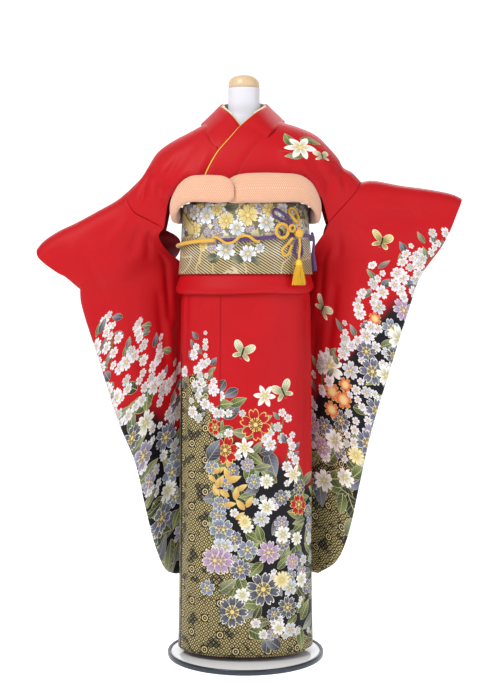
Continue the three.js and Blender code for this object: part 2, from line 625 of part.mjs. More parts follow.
const KNOT = { x: 134, up: 1096, off: 21.6 };
const knotShape = new THREE.SphereGeometry(OBIJIME.knotRadius, 10, 7).scale(1, 0.85, 1);
const knot = add('obijime_knot', merged(knotShape), COLOURS.yellow);
knot.position.copy(onObi(KNOT.x, KNOT.up, KNOT.off));

// Loops and ends that fan out of the knot over the obi: across, up and how far off the obi's face.
const LOOPS = {
  obijime_loop_up_a: ['purple', rows('x up off', [125, 1108, 18], [112, 1128, 8], [92, 1148, 2.8], [74, 1156, 2.8],
    [68, 1145, 2.8], [84, 1132, 2.8], [102, 1122, 5], [115, 1112, 11])],
  obijime_loop_up_b: ['yellow', rows('x up off', [135, 1112, 20], [134, 1134, 9], [124, 1156, 2.8],
    [113, 1160, 2.8], [109, 1150, 2.8], [117, 1137, 9], [129, 1121, 15])],
  obijime_loop_low_a: ['purple', rows('x up off', [129, 1081, 16], [125, 1062, 8], [127, 1042, 2.8],
    [137, 1036, 2.8], [144, 1048, 2.8], [141, 1066, 8], [139, 1078, 12.4])],
  obijime_loop_low_b: ['yellow', rows('x up off', [119, 1084, 17], [104, 1068, 8], [92, 1054, 2.8], [97, 1040, 2.8],
    [108, 1044, 2.8], [112, 1056, 4], [117, 1068, 9])],
};
for (const [name, [colour, table]] of Object.entries(LOOPS)) {
  const route = table.map(({ x, up, off }) => onObi(x, up, off + 1));
  add(name, cord(route, OBIJIME.thin, 14), COLOURS[colour]);
}

// Braided rings lie in front of the cord.
const RINGS = rows('number x up off radius thick', [1, 92, 1101, 15.4, 17, 4], [2, 117, 1108, 23.2, 8, 2.6]);
for (const { number, x, up, off, radius, thick } of RINGS) {
  const middle = onObi(x, up, off);
  const facing = Math.atan2(x * 0.9, 170);
  const route = Array.from({ length: 14 }, (_, k) => {
    const turn = (k / 14) * 2 * Math.PI;
    return middle.clone().add(vector(Math.cos(turn) * radius, 0, Math.sin(turn) * radius)
      .applyAxisAngle(vector(0, 0, 1), facing));
  });
  add(`obijime_ring_${number}`, cord(route, thick, 18, true), COLOURS.yellow);
}

// A tassel: strands fused at the root into its head.
function tassel(head, { strands, long, spread, headLong, headRadius }) {
  const parts = [cord([head.clone(), head.clone().setZ(head.z - headLong * 0.4),
    head.clone().setZ(head.z - headLong)], (share) => headRadius * (0.55 + 0.45 * share), 4, false, 8)];
  const lean = Math.atan2(head.x, 170);
  for (let i = 0; i < strands; i += 1) {
    const ring = i < 8 ? 0.42 : 1;
    const turn = (i / (i < 8 ? 8 : strands - 8)) * 2 * Math.PI + ring;
    const [across, away] = [Math.cos(turn) * ring, Math.sin(turn) * ring];
    const root = headRadius * 0.72;
    const bend = (share, wide) => head.clone().add(
      vector(across * wide, away * Math.min(wide, headRadius * 0.95), -headLong * 0.8 - share * long)
        .applyAxisAngle(vector(0, 0, 1), lean));
    parts.push(cord([bend(0, root), bend(0.45, mix(root, spread, 0.55)), bend(1, spread)], 1.15, 3, false, 3));
  }
  return fuse(parts);
}
const TASSEL = { strands: 26, long: 50, spread: 19, headLong: 14, headRadius: 8.5 };
add('obijime_tassel', tassel(onObi(134, 1030, 21), TASSEL), COLOURS.yellow);
const hanger = [[135, 1084.1, 22.2], [137, 1066, 21], [135, 1046, 20.6], [134, 1031.2, 21]];
add('obijime_hanger', cord(hanger.map(([x, up, off]) => onObi(x, up, off)), 3, 8), COLOURS.yellow);

// The cord's other end comes from the knot and hangs down the side of the obi.
const END_ROUTE = rows('turn up off', [64, 1098, 19], [69, 1090, 16], [75, 1074, 12], [80, 1054, 6.4], [83, 1032, 5.2],
  [85, 1004, 6.2]);
add('obijime_end', cord(END_ROUTE.map(({ turn, up, off }) => onOval(OBI_FACE, up, turn, off)),
  (share) => 3.4 + 2.4 * smooth((share - 0.55) / 0.3), 14), COLOURS.purple);

// ---- Dress form and stand ------------------------------------------------------------------------

const formTurns = turns(-180, 170, 0);
const formRings = FORM.map(({ up, wide, deep }) => formTurns.map((turn) => {
  const place = onOval([{ up, wide, deep }, { up: up + 1, wide, deep }], up, turn);
  place.x += NECK.across * smooth((up - 1340) / 90);
  return place;
}));
add('dress_form', loft(formRings), COLOURS.form);

const lathe = (profile, count) =>
  merged(new THREE.LatheGeometry(profile.map(([r, z]) => new THREE.Vector2(r, z)), count).rotateX(Math.PI / 2));
const capProfile = [[0, 0], [37, 0], [CAP_RADIUS, 4], [39, 16], [33, 27], [20, 34], [0, 36.5]];
const cap = add('neck_cap', lathe(capProfile, 20), COLOURS.wood);
cap.position.set(NECK.across, 0, NECK.top + 0.3);

const { radius: plateRadius, thick: plateThick } = PLATE;
const plateProfile = [[0, 0], [plateRadius - 2, 0], [plateRadius, 2], [plateRadius, plateThick - 3],
  [plateRadius - 4, plateThick], [0, plateThick]];
add('stand_plate', lathe(plateProfile, 36), COLOURS.plate);
const rimProfile = [[plateRadius + 0.4, 1], [RIM_RADIUS - 2, 0], [RIM_RADIUS, 3], [RIM_RADIUS, 11],
  [RIM_RADIUS - 3, 14], [plateRadius + 0.4, 13], [plateRadius + 0.4, 1]];
add('stand_rim', lathe(rimProfile, 36), COLOURS.steel);
const poleProfile = [[0, 0], [46, 0], [46, 4], [18, 9], [POLE_RADIUS, 24],
  [POLE_RADIUS, FORM_LOW - plateThick - 0.6], [0, FORM_LOW - plateThick - 0.6]];
const pole = add('stand_pole', lathe(poleProfile, 20), COLOURS.steel);
pole.position.z = plateThick + 0.3;

export default kimono;
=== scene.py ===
"""Looks of a furisode kimono on a dress form stand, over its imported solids.

Lengths are millimetres until a mesh is made. Left and right are the wearer's: the wearer's left is +X.
The front faces -Y. A piece of cloth is a net of points, a wall over it and flat coordinates on it.
"""

import math
import random

import bpy
import numpy as np
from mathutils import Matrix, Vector


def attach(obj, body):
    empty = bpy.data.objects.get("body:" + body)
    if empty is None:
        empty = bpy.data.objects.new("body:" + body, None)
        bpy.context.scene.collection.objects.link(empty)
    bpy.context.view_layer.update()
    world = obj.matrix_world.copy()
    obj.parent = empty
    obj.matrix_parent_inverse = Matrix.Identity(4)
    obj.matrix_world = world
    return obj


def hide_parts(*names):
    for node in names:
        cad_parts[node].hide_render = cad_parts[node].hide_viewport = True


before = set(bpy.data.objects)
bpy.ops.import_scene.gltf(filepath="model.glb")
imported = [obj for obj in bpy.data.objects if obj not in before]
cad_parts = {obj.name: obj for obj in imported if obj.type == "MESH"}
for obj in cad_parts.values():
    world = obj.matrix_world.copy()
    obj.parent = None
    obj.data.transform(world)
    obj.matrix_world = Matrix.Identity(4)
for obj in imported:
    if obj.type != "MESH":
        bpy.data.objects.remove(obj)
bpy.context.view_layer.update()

# ---- Sizes, as the solids have them ------------------------------------------------------------

CLOTH, COLLAR_WALL, OBI_WALL, AIR = 1.6, 2.4, 5.0, 0.4
OVAL = 2 / 2.2
LAP = 6
HEM_UP, UNDER_HEM_UP, SKIRT_TOP = 31, 25, 1112
OBI_LOW, OBI_HIGH = 994, 1172
CORD_RADIUS, CORD_THIN = 5, 3.4
NECK_X, NECK_FOOT, NECK_TOP = -4, 1388, 1471.5
PLATE_RADIUS, PLATE_THICK, RIM_RADIUS = 196, 12, 204
FORM_LOW, POLE_RADIUS = 700, 14
OBI_ROUND = 170  # radius of the front of the obi
FOLD_FLAT, BODY_FLAT, DRUM_FLAT = 1220, 1378, 1168  # where flat coordinates of sleeve, body and drum start
POINTS_BETWEEN = 40  # on a curve, between two of its given points
CORD_STEP, CORD_SIDES = 1.6, 16
TWIST, TWIST_TURNS = 8.9, 1.5  # of the twisted cord: from its middle line, and its turns
SCARF_ROWS, SCARF_SIDES, SCARF_SQUARE = 190, 56, 0.8
MOST_PETALS = 20  # a motif's alpha holds its petals as a share of this

# height, half width, half depth
SKIRT = [(15, 177, 130), (150, 174, 128), (600, 171, 125), (900, 168, 123), (960, 165, 122),
         (1000, 161, 120), (1120, 150, 113)]
OBI_INSIDE = [(OBI_LOW, 169, 128.5), (OBI_HIGH, 157, 120)]
FORM = [(700, 96, 66), (706, 116, 82), (724, 134, 96), (800, 147, 105), (1000, 157, 116),
        (1104, 147.4, 109), (1140, 142, 84), (1200, 146, 84), (1280, 160, 84), (1334, 165, 70),
        (1356, 139, 56), (1373.5, 107, 40), (1388, 64, 36), (1406, 44, 32), (1430, 41, 35),
        (1471.5, 41, 40)]

# out from the middle, height
SHOULDER = {
    "right": [(109, 1378), (144, 1359), (178, 1341), (209, 1322), (231, 1302), (251, 1270), (267, 1244),
              (299, 1211)],
    "left": [(95, 1384), (142, 1369), (183, 1350), (207, 1328), (239, 1292), (251, 1270), (275, 1256),
             (298, 1231)],
}
SLEEVE_TOP = {
    "right": [(299, 1211), (331, 1185), (386, 1154), (436, 1127), (486, 1103), (523, 1078), (540, 1058)],
    "left": [(298, 1231), (325, 1235), (402, 1222), (481, 1211), (537, 1199), (559, 1188)],
}
HAND_OPENING = {
    "right": [(540, 1058), (532, 1036), (481, 997), (466, 990), (428, 957)],
    "left": [(559, 1188), (547, 1160), (525, 1105), (501, 1057)],
}
OUTER_EDGE = {
    "right": [(428, 957), (426, 923), (382, 777), (331, 614), (287, 501), (262, 381), (236, 271),
              (209, 207), (186, 195)],
    "left": [(501, 1057), (452, 988), (422, 901), (375, 748), (324, 574), (298, 450), (266, 300),
             (238, 235), (194, 198)],
}
ARMHOLE = {
    "right": [(299, 1211), (302, 1184), (286, 1153), (246, 1130), (208, 1111)],
    "left": [(298, 1231), (284, 1206), (248, 1164), (211, 1126)],
}
SLEEVE_SEAM = [(184, 1030), (172, 930), (140, 800), (105, 680), (80, 540), (66, 380), (60, 205)]
INNER_EDGE = {
    "right": [(208, 1111), (195, 1080), *SLEEVE_SEAM],
    "left": [(211, 1126), (197, 1084), *SLEEVE_SEAM],
}
FRONT_EDGE = {
    "right": [(109, 1378), (94, 1341), (74, 1303), (44, 1262), (14, 1221), (-10, 1180), (-22, 1150)],
    "left": [(95, 1384), (68, 1356), (42, 1326), (16, 1294), (0, 1271), (-11, 1246), (-34, 1205),
             (-50, 1150)],
}
BACK_MIDDLE = [(36, 1388), (8, 1387), (0.9, 1366), (0.7, 1300), (0.6, 1150)]
BACK_EDGE = {
    "right": [(109, 1378), (80, 1384), *BACK_MIDDLE],
    "left": [(95, 1384), (70, 1386), *BACK_MIDDLE],
}
# out from the middle, how far the cloth stands off its middle, over what drop
FULLNESS = [(0, 118, 150), (100, 116, 140), (150, 109, 120), (200, 96, 100), (250, 78, 80), (299, 52, 60),
            (350, 42, 46), (450, 34, 38), (560, 28, 34)]
SLEEVE_SLACK = [(0, 1), (0.16, 1), (0.22, 0.62), (0.32, 0.42), (0.6, 0.32), (1, 0.26)]
WRAP_DEEP, WRAP_OUT, WRAP_START, WRAP_FULL = 172, 330, 1108, 1020
NECK_BASE_UP = 1400
ARM_SHARE, EDGE_ROUNDING = 0.16, 26
UNDER_COLLAR = 9  # the fronts run on under the collar
SIDES = {"right": -1, "left": 1}

# Creases: from (out, up) to (out, up), half width, height; a trough where that is negative.
CREASES = {
    "right": [(225, 1235, 190, 1150, 16, -9), (210, 1100, 330, 930, 46, -12), (470, 1085, 350, 985, 40, 8),
              (216, 980, 205, 720, 26, 9)],
    "left": [(222, 1250, 196, 1150, 16, -9), (320, 1140, 500, 1145, 26, -9), (230, 1120, 200, 900, 26, 9),
             (360, 1080, 300, 800, 44, -8)],
}
FINE_CREASES = {
    "right": [(228, 1120, 262, 1040, 9, -4), (262, 1128, 300, 1050, 10, -3.4),
              (300, 1140, 352, 1062, 12, 3), (222, 1040, 214, 880, 8, -4), (238, 940, 220, 760, 10, -3),
              (300, 900, 262, 700, 16, -3), (360, 860, 318, 690, 14, 2.6), (420, 1060, 372, 960, 14, -3),
              (196, 860, 180, 640, 10, -3.4), (236, 620, 214, 420, 14, -3), (196, 500, 180, 300, 12, 3),
              (278, 520, 246, 400, 12, 2.6), (150, 1250, 214, 1180, 12, 3),
              (120, 1330, 190, 1230, 14, -2.4), (168, 1290, 214, 1216, 9, -3),
              (96, 1300, 130, 1220, 12, 2.2), (232, 1268, 262, 1200, 9, -4),
              (250, 1210, 276, 1160, 7, -3)],
    "left": [(226, 1130, 252, 1050, 9, -4), (262, 1150, 330, 1096, 10, -3.4), (350, 1176, 440, 1150, 12, 3),
             (222, 1060, 208, 900, 8, -4), (244, 960, 224, 780, 10, -3), (310, 940, 272, 740, 16, -3),
             (430, 1040, 384, 900, 14, 2.6), (470, 1110, 400, 1060, 14, -3), (196, 860, 180, 640, 10, -3.4),
             (244, 640, 222, 430, 14, -3), (196, 500, 180, 300, 12, 3), (290, 560, 256, 420, 12, 2.6),
             (146, 1260, 206, 1184, 12, 3), (118, 1336, 186, 1236, 14, -2.4), (166, 1296, 210, 1220, 9, -3),
             (92, 1306, 124, 1226, 12, 2.2), (236, 1272, 256, 1206, 9, -4), (262, 1236, 282, 1186, 7, -3)],
}

# neck edge x y z, seam edge x y z, lift; None where the strip lies on the chest
COLLAR = [
    (31, None, 1309, -32, None, 1248, -2.6), (16, None, 1328, -44, None, 1262, -2.4),
    (-11, None, 1362, -76, None, 1303, -2.4), (-38, -50, 1398, -97, None, 1341, -1),
    (-61, 8, 1426, -112, 2, 1377, 0), (-46, 56, 1438, -88, 66, 1391, 0), (0, 74, 1440, 0, 88, 1390, 0),
    (44, 56, 1438, 84, 66, 1393, 0), (53, 8, 1426, 99, 2, 1382, 0), (26, -52, 1400, 72, None, 1353, 3),
    (-11.5, None, 1364, 46, None, 1322, 6), (-38, None, 1332, 20, None, 1290, 6.4),
    (-69, None, 1295, 4, None, 1266, 6.4), (-95, None, 1249, -7, None, 1243, 6.4),
    (-107, None, 1214, -22, None, 1208, 6.4)]
STRIP_WALL, SEAM_MARGIN = 1.3, 1

# x, y, up, half height, half depth
SCARF = {
    "right": [
        (-28, -151.5, 1197, 15, 3), (-40, -150.5, 1200, 28, 5.6), (-58, -147.5, 1203, 33, 8.6),
        (-76, -142.2, 1204, 34, 12), (-102, -138.4, 1205, 34, 13), (-138, -127, 1204, 32, 12),
        (-163, -115, 1190, 30, 9.5), (-180, -96, 1164, 25, 9), (-182, -66, 1150, 23, 9),
        (-176, -20, 1147, 22, 9.5), (-172, 30, 1148, 22, 9), (-152, 84, 1150, 20, 9),
        (-116, 119, 1152, 16, 8)],
    "left": [
        (-55, -133, 1196, 14, 2.4), (-45, -135.2, 1199, 26, 4.8), (-27, -136.4, 1203, 34, 9.2),
        (-4, -139, 1206, 36, 13), (40, -141.2, 1207, 37, 14), (96, -139.2, 1207, 36, 14),
        (136, -131, 1205, 34, 12.5), (164, -118, 1190, 31, 10.5), (181, -98, 1163, 26, 9),
        (183, -66, 1149, 24, 9), (177, -20, 1146, 22, 9.5), (172, 30, 1148, 22, 9), (152, 84, 1150, 20, 9),
        (116, 119, 1152, 16, 8)],
}
TUCK = [(1012, 2.2), (958, 2.6), (944, 7), (951, 12), (974, 8.6), (994, 4.8), (1012, 4.6)]
DRUM = [(143.2, 1010), (142.8, 1110), (138, 1185), (141, 1222), (163, 1246), (196, 1240), (218, 1200),
        (226, 1120), (222, 1040), (204, 1000), (174, 984), (150, 990)]
TAIL = [(150, 986.6), (151, 960), (152, 925)]
DRUM_HALF, TAIL_HALF = 148, 146
CORD_UP = [(-180, 1083), (-90, 1068), (-40, 1076), (0, 1080), (50, 1092), (100, 1086), (180, 1083)]


# ---- Small tools -------------------------------------------------------------------------------

def smooth(value):
    t = np.clip(value, 0, 1)
    return t * t * (3 - 2 * t)


def mix(a, b, t):
    return a + (b - a) * t


def distances(line):
    """How far along a line each of its points lies."""
    return np.r_[0, np.cumsum(np.linalg.norm(np.diff(line, axis=0), axis=1))]


def stacked(*parts):
    return np.stack(np.broadcast_arrays(*parts), -1)


def round_angles(count):
    return np.linspace(0, 2 * np.pi, count, endpoint=False)


def along(table, at, column=1):
    """One column of a table between its rows, on a smooth curve through them."""
    rows = np.array(table, float)
    if rows[0, 0] > rows[-1, 0]:
        rows = rows[::-1]
    key, value = rows[:, 0], rows[:, column]
    last = len(key) - 1
    low, high = np.maximum(np.arange(last + 1) - 1, 0), np.minimum(np.arange(last + 1) + 1, last)
    slope = (value[high] - value[low]) / (key[high] - key[low])
    at = np.clip(np.asarray(at, float), key[0], key[-1])
    i = np.clip(np.searchsorted(key, at, side="right") - 1, 0, last - 1)
    span = key[i + 1] - key[i]
    t = (at - key[i]) / span
    t2, t3 = t * t, t * t * t
    return (value[i] * (2 * t3 - 3 * t2 + 1) + slope[i] * span * (t3 - 2 * t2 + t)
            + value[i + 1] * (3 * t2 - 2 * t3) + slope[i + 1] * span * (t3 - t2))


def curve_through(points, closed=False):
    """Dense points on a smooth curve through the given ones."""
    p = np.array(points, float)
    if closed:
        p = np.vstack([p[-1], p, p[0], p[1]])
    else:
        p = np.vstack([2 * p[0] - p[1], p, 2 * p[-1] - p[-2]])
    t = np.linspace(0, 1, POINTS_BETWEEN, endpoint=False)[:, None]
    found = []
    for a, b, c, d in zip(p, p[1:], p[2:], p[3:]):
        before, here, after = (max(np.linalg.norm(v - u) ** 0.5, 1e-4) for u, v in ((a, b), (b, c), (c, d)))
        start = ((b - a) / before - (c - a) / (before + here) + (c - b) / here) * here
        end = ((c - b) / here - (d - b) / (here + after) + (d - c) / after) * here
        found.append(b * (2 * t**3 - 3 * t**2 + 1) + start * (t**3 - 2 * t**2 + t)
                     + c * (3 * t**2 - 2 * t**3) + end * (t**3 - t**2))
    found.append(p[-2][None])
    return np.vstack(found)


def outline(table, closed=False):
    """A smooth line through the rows: shares of its length give places."""
    dense = curve_through(table, closed)
    length = distances(dense)
    shares = length / length[-1]

    def place(share):
        share = np.clip(share, 0, 1)
        return np.stack([np.interp(share, shares, column) for column in dense.T], -1)

    place.length = length[-1]
    return place


def crease_at(creases, out, up):
    total = 0
    for from_out, from_up, to_out, to_up, wide, high in creases:
        dx, dz = to_out - from_out, to_up - from_up
        share = np.clip(((out - from_out) * dx + (up - from_up) * dz) / (dx * dx + dz * dz), 0, 1)
        away = np.hypot(out - from_out - share * dx, up - from_up - share * dz)
        total = total + high * np.exp(-((away / wide) ** 2)) * (0.55 + 0.45 * np.sin(np.pi * share))
    return total


def on_oval(table, up, turn, out=0):
    """A place on an oval section, turned in degrees from the front middle to the wearer's left."""
    wide, deep = along(table, up, 1) + out, along(table, up, 2) + out
    s, c = np.sin(np.radians(turn)), np.cos(np.radians(turn))
    x = wide * np.sign(s) * np.abs(s) ** OVAL
    y = -deep * np.sign(c) * np.abs(c) ** OVAL
    return stacked(x, y, up).astype(float)


def on_obi(x, up, off):
    wide, deep = (along(OBI_INSIDE, up, k) + OBI_WALL + off for k in (1, 2))
    share = np.clip(np.abs(x) / wide, 0, 0.999) ** (2 / OVAL)
    return stacked(x, -deep * (1 - share) ** (OVAL / 2), up).astype(float)


# ---- Cloth nets --------------------------------------------------------------------------------

class Net:
    """Grids of points with flat coordinates. Points in the same place count as one for the normals."""

    def __init__(self, grids, inside):
        self.points = np.vstack([grid.reshape(-1, 3) for grid, _ in grids])
        self.flat = np.vstack([flat.reshape(-1, 2) for _, flat in grids])
        faces, start = [], 0
        for grid, _ in grids:
            n, m = grid.shape[:2]
            ids = np.arange(n * m).reshape(n, m) + start
            quads = np.stack([ids[:-1, :-1], ids[:-1, 1:], ids[1:, 1:], ids[1:, :-1]], -1)
            faces.append(quads.reshape(-1, 4))
            start += n * m
        self.faces = np.vstack(faces)
        _, self.same = np.unique(np.round(self.points * 20).astype(int), axis=0, return_inverse=True)
        self.same = self.same.reshape(-1)
        a, b, c, d = (self.points[self.faces[:, k]] for k in range(4))
        normal = np.cross(c - a, d - b)
        if ((normal * (a - np.array(inside, float))).sum(1)).sum() < 0:
            self.faces = self.faces[:, ::-1].copy()
            normal = -normal
        long = np.linalg.norm(normal, axis=1, keepdims=True)
        keep = long[:, 0] > 1e-6
        self.faces, normal = self.faces[keep], (normal / np.maximum(long, 1e-9))[keep]
        total = np.zeros((self.same.max() + 1, 3))
        for k in range(4):
            np.add.at(total, self.same[self.faces[:, k]], normal)
        total /= np.maximum(np.linalg.norm(total, axis=1, keepdims=True), 1e-9)
        self.normals = total[self.same]

    def middles(self):
        return self.flat[self.faces].mean(1)


def make_mesh(name, points, faces):
    mesh = bpy.data.meshes.new(name)
    mesh.from_pydata((np.asarray(points) / 1000).tolist(), [], [tuple(f) for f in faces])
    mesh.update()
    mesh.shade_smooth()
    item = bpy.data.objects.new(name, mesh)
    bpy.context.scene.collection.objects.link(item)
    return item


def cloth(name, net, thick, lift=0.0):
    """The wall over a net, welded, with its flat coordinates and which side each face is on."""
    count = int(net.same.max()) + 1
    first = np.zeros(count, int)
    first[net.same[::-1]] = np.arange(len(net.same))[::-1]
    points, normals = net.points[first], net.normals[first]
    outer, inner = points + normals * (lift + thick), points + normals * lift
    ids = net.same[net.faces]
    flat_corners = net.flat[net.faces]
    edges = {}
    faces, corners, sides = [], [], []
    for welded, flats in zip(ids.tolist(), flat_corners.tolist()):
        ring = [(v, uv) for k, (v, uv) in enumerate(zip(welded, flats)) if v != welded[k - 1]]
        if len(ring) < 3 or len({v for v, _ in ring}) < len(ring):
            continue
        faces.append([v for v, _ in ring])
        corners.extend(uv for _, uv in ring)
        sides.append(0.0)
        faces.append([v + count for v, _ in reversed(ring)])
        corners.extend(uv for _, uv in reversed(ring))
        sides.append(1.0)
        for k, (v, uv) in enumerate(ring):
            following = ring[(k + 1) % len(ring)]
            if (following[0], v) in edges:
                del edges[(following[0], v)]
            else:
                edges[(v, following[0])] = (uv, following[1])
    for (a, b), (uv_a, uv_b) in edges.items():
        faces.append([b, a, a + count, b + count])
        corners.extend([uv_b, uv_a, uv_a, uv_b])
        sides.append(0.5)
    item = make_mesh(name, np.vstack([outer, inner]), faces)
    layer = item.data.uv_layers.new(name="flat")
    layer.data.foreach_set("uv", (np.array(corners, float) / 1000).ravel())
    side = item.data.attributes.new("side", "FLOAT", "FACE")
    side.data.foreach_set("value", sides)
    return item


def flat_from(grid, start_out, start_up):
    """Flat coordinates of rows from the top down: across from the first column, down the columns."""
    across = np.linalg.norm(np.diff(grid[..., :2], axis=1), axis=2)
    out = np.concatenate([np.zeros((len(grid), 1)), np.cumsum(across, axis=1)], axis=1)
    down = np.linalg.norm(np.diff(grid, axis=0), axis=2)
    fall = np.concatenate([np.zeros((1, grid.shape[1])), np.cumsum(down, axis=0)])
    return np.stack([start_out + out, start_up - fall], -1)


# ---- Upper body and sleeves --------------------------------------------------------------------

def rounded(share):
    return np.sqrt(1 - (1 - np.clip(share, 0, 1)) ** 2)


def fullness(top_out, drop):
    return along(FULLNESS, top_out, 1) * rounded(drop / along(FULLNESS, top_out, 2))


def drawn_in(out, up):
    return 1 - 0.2 * smooth((1235 - up) / 60) * smooth((150 - np.abs(out)) / 45)


def shoulder_up(which, out):
    line = SHOULDER[which]
    share = np.abs(out) / line[0][0]
    return np.where(share < 1, mix(NECK_BASE_UP, line[0][1], share * share), along(line, np.abs(out)))


def patch(top, bottom, inner, outer, across, down):
    t, b, i, o = top(across)[None], bottom(across)[None], inner(down)[:, None], outer(down)[:, None]
    a, d = across[None, :, None], down[:, None, None]
    corners = mix(mix(top(0.0), top(1.0), a), mix(bottom(0.0), bottom(1.0), a), d)
    return mix(i, o, a) + mix(t, b, d) - corners


def body_half(which, face, across, down):
    front = face < 0
    armhole = outline(ARMHOLE[which])
    under_collar = [(out - UNDER_COLLAR, up) for out, up in FRONT_EDGE[which]]
    edge = outline(under_collar if front else BACK_EDGE[which])
    start, end = edge(1.0), armhole(1.0)
    hem = outline([(start[0], 1150), (56, 1148), (80, 1153), (102, 1190), (150, 1199), (186, 1192),
                   (end[0], end[1])])
    shoulder = outline(SHOULDER[which])
    top = patch(shoulder, hem, edge, armhole, across, np.zeros(1))[0][None]
    here = patch(shoulder, hem, edge, armhole, across, down)
    out, up = here[..., 0], here[..., 1]
    towards_arm = smooth((across - 0.3) / 0.7)[None]
    under = mix(np.abs(out), np.broadcast_to(top[..., 0], out.shape), towards_arm)
    drop = mix(shoulder_up(which, out) - up, np.hypot(out - top[..., 0], up - top[..., 1]), towards_arm)
    over = front and which == "left"
    lap = LAP * smooth(drop / 90) * (1 - smooth((across[None] - 0.35) / 0.4)) if over else 0
    fade = smooth((1 - across[None]) * 5) * smooth(down[:, None] * 4)
    nape = 38 * smooth((up - 1340) / 45) * smooth((96 - np.abs(out)) / 56) if face > 0 else 0
    stand = (fullness(under, drop) * drawn_in(out, up) + lap + nape
             + fade * creases_on(which, out, up))
    return np.stack([SIDES[which] * out, face * stand, up], -1)


def creases_on(which, out, up):
    return crease_at(CREASES[which], out, up) + 2 * crease_at(FINE_CREASES[which], out, up)


def joined_layers(front, back, start_out, start_up):
    """Front and back of a folded panel as one grid over the fold, with flat coordinates for each."""
    grid = np.concatenate([back[:0:-1], front])
    flat_front = flat_from(front, start_out, start_up)
    flat_back = flat_from(back, start_out, start_up)
    flat_back[..., 1] = 2 * start_up - flat_back[..., 1]
    return grid, np.concatenate([flat_back[:0:-1], flat_front])


def upper_body(which):
    across, down = np.linspace(0, 1, 56), np.linspace(0, 1, 44)
    down = down ** 1.15
    front, back = (body_half(which, face, across, down) for face in (-1, 1))
    grid, flat = joined_layers(front, back, SHOULDER[which][0][0], BODY_FLAT)
    return Net([(grid, flat)], (SIDES[which] * 150, 0, 1230))


def sleeve_layer(which, face, across, down):
    armhole, inner_edge = outline(ARMHOLE[which]), outline(INNER_EDGE[which])
    hand, outer_edge = outline(HAND_OPENING[which]), outline(OUTER_EDGE[which])

    def parts(first, rest):
        def place(share):
            share = np.asarray(share, float)
            upper, lower = first(share / ARM_SHARE), rest((share - ARM_SHARE) / (1 - ARM_SHARE))
            return np.where((share <= ARM_SHARE)[..., None], upper, lower)
        return place

    inner, outer = parts(armhole, inner_edge), parts(hand, outer_edge)
    from_end, to_end = inner_edge(1.0), outer_edge(1.0)

    def bottom(share):
        return mix(from_end, to_end, np.asarray(share, float)[..., None])

    top = outline(SLEEVE_TOP[which])

    def middle(shares):
        place = patch(top, bottom, inner, outer, shares, down)
        out, up = place[..., 0], place[..., 1]
        share = np.clip(out / WRAP_OUT, 0, 1)
        swing = smooth((WRAP_START - up) / (WRAP_START - WRAP_FULL))
        return out, up, swing * WRAP_DEEP * (1 - share * share) ** 2

    out, up, y = middle(across)
    near, far = middle(np.maximum(across - 0.02, 0)), middle(np.minimum(across + 0.02, 1))
    run_x, run_y = far[0] - near[0], far[2] - near[2]
    long = np.hypot(run_x, run_y)
    run_x, run_y = run_x / long, run_y / long
    fold = top(across)[None]
    drop = np.hypot(out - fold[..., 0], up - fold[..., 1])
    wide = np.linalg.norm(outer(down) - inner(down), axis=1)[:, None]
    open_ = np.where(down < ARM_SHARE, np.sqrt(np.maximum(1 - (down / ARM_SHARE) ** 3, 0)), 0)[:, None]
    shut = 1 - (1 - open_) * (1 - rounded((1 - across[None]) * wide / EDGE_ROUNDING))
    foot = rounded((1 - down[:, None]) * 900 / EDGE_ROUNDING)
    fade = smooth(across[None] * 6) * smooth((1 - across[None]) * 6) * smooth(down[:, None] * 14) * foot
    stand = (fullness(fold[..., 0], drop) * along(SLEEVE_SLACK, down)[:, None] * shut * foot
             + fade * creases_on(which, out, up))
    off = face * np.maximum(stand, 0)
    return np.stack([SIDES[which] * (out - run_y * off), y + run_x * off, up], -1), out


def sleeve(which):
    across = np.r_[np.linspace(0, 0.9, 62), np.linspace(0.912, 1, 14)]
    down = np.r_[np.linspace(0, 0.06, 9), np.linspace(0.068, 0.975, 128), np.linspace(0.98, 1, 8)]
    front, out = sleeve_layer(which, -1, across, down)
    back, _ = sleeve_layer(which, 1, across, down)
    grid, flat = joined_layers(front, back, 0, FOLD_FLAT)
    flat[..., 0] += np.concatenate([out[:0:-1], out])[:, :1]
    return Net([(grid, flat)], (SIDES[which] * 300, 40, 800))


# ---- Materials ---------------------------------------------------------------------------------

PER_TURN = 1 / (2 * math.pi)
DARK_LINE = "201C22"


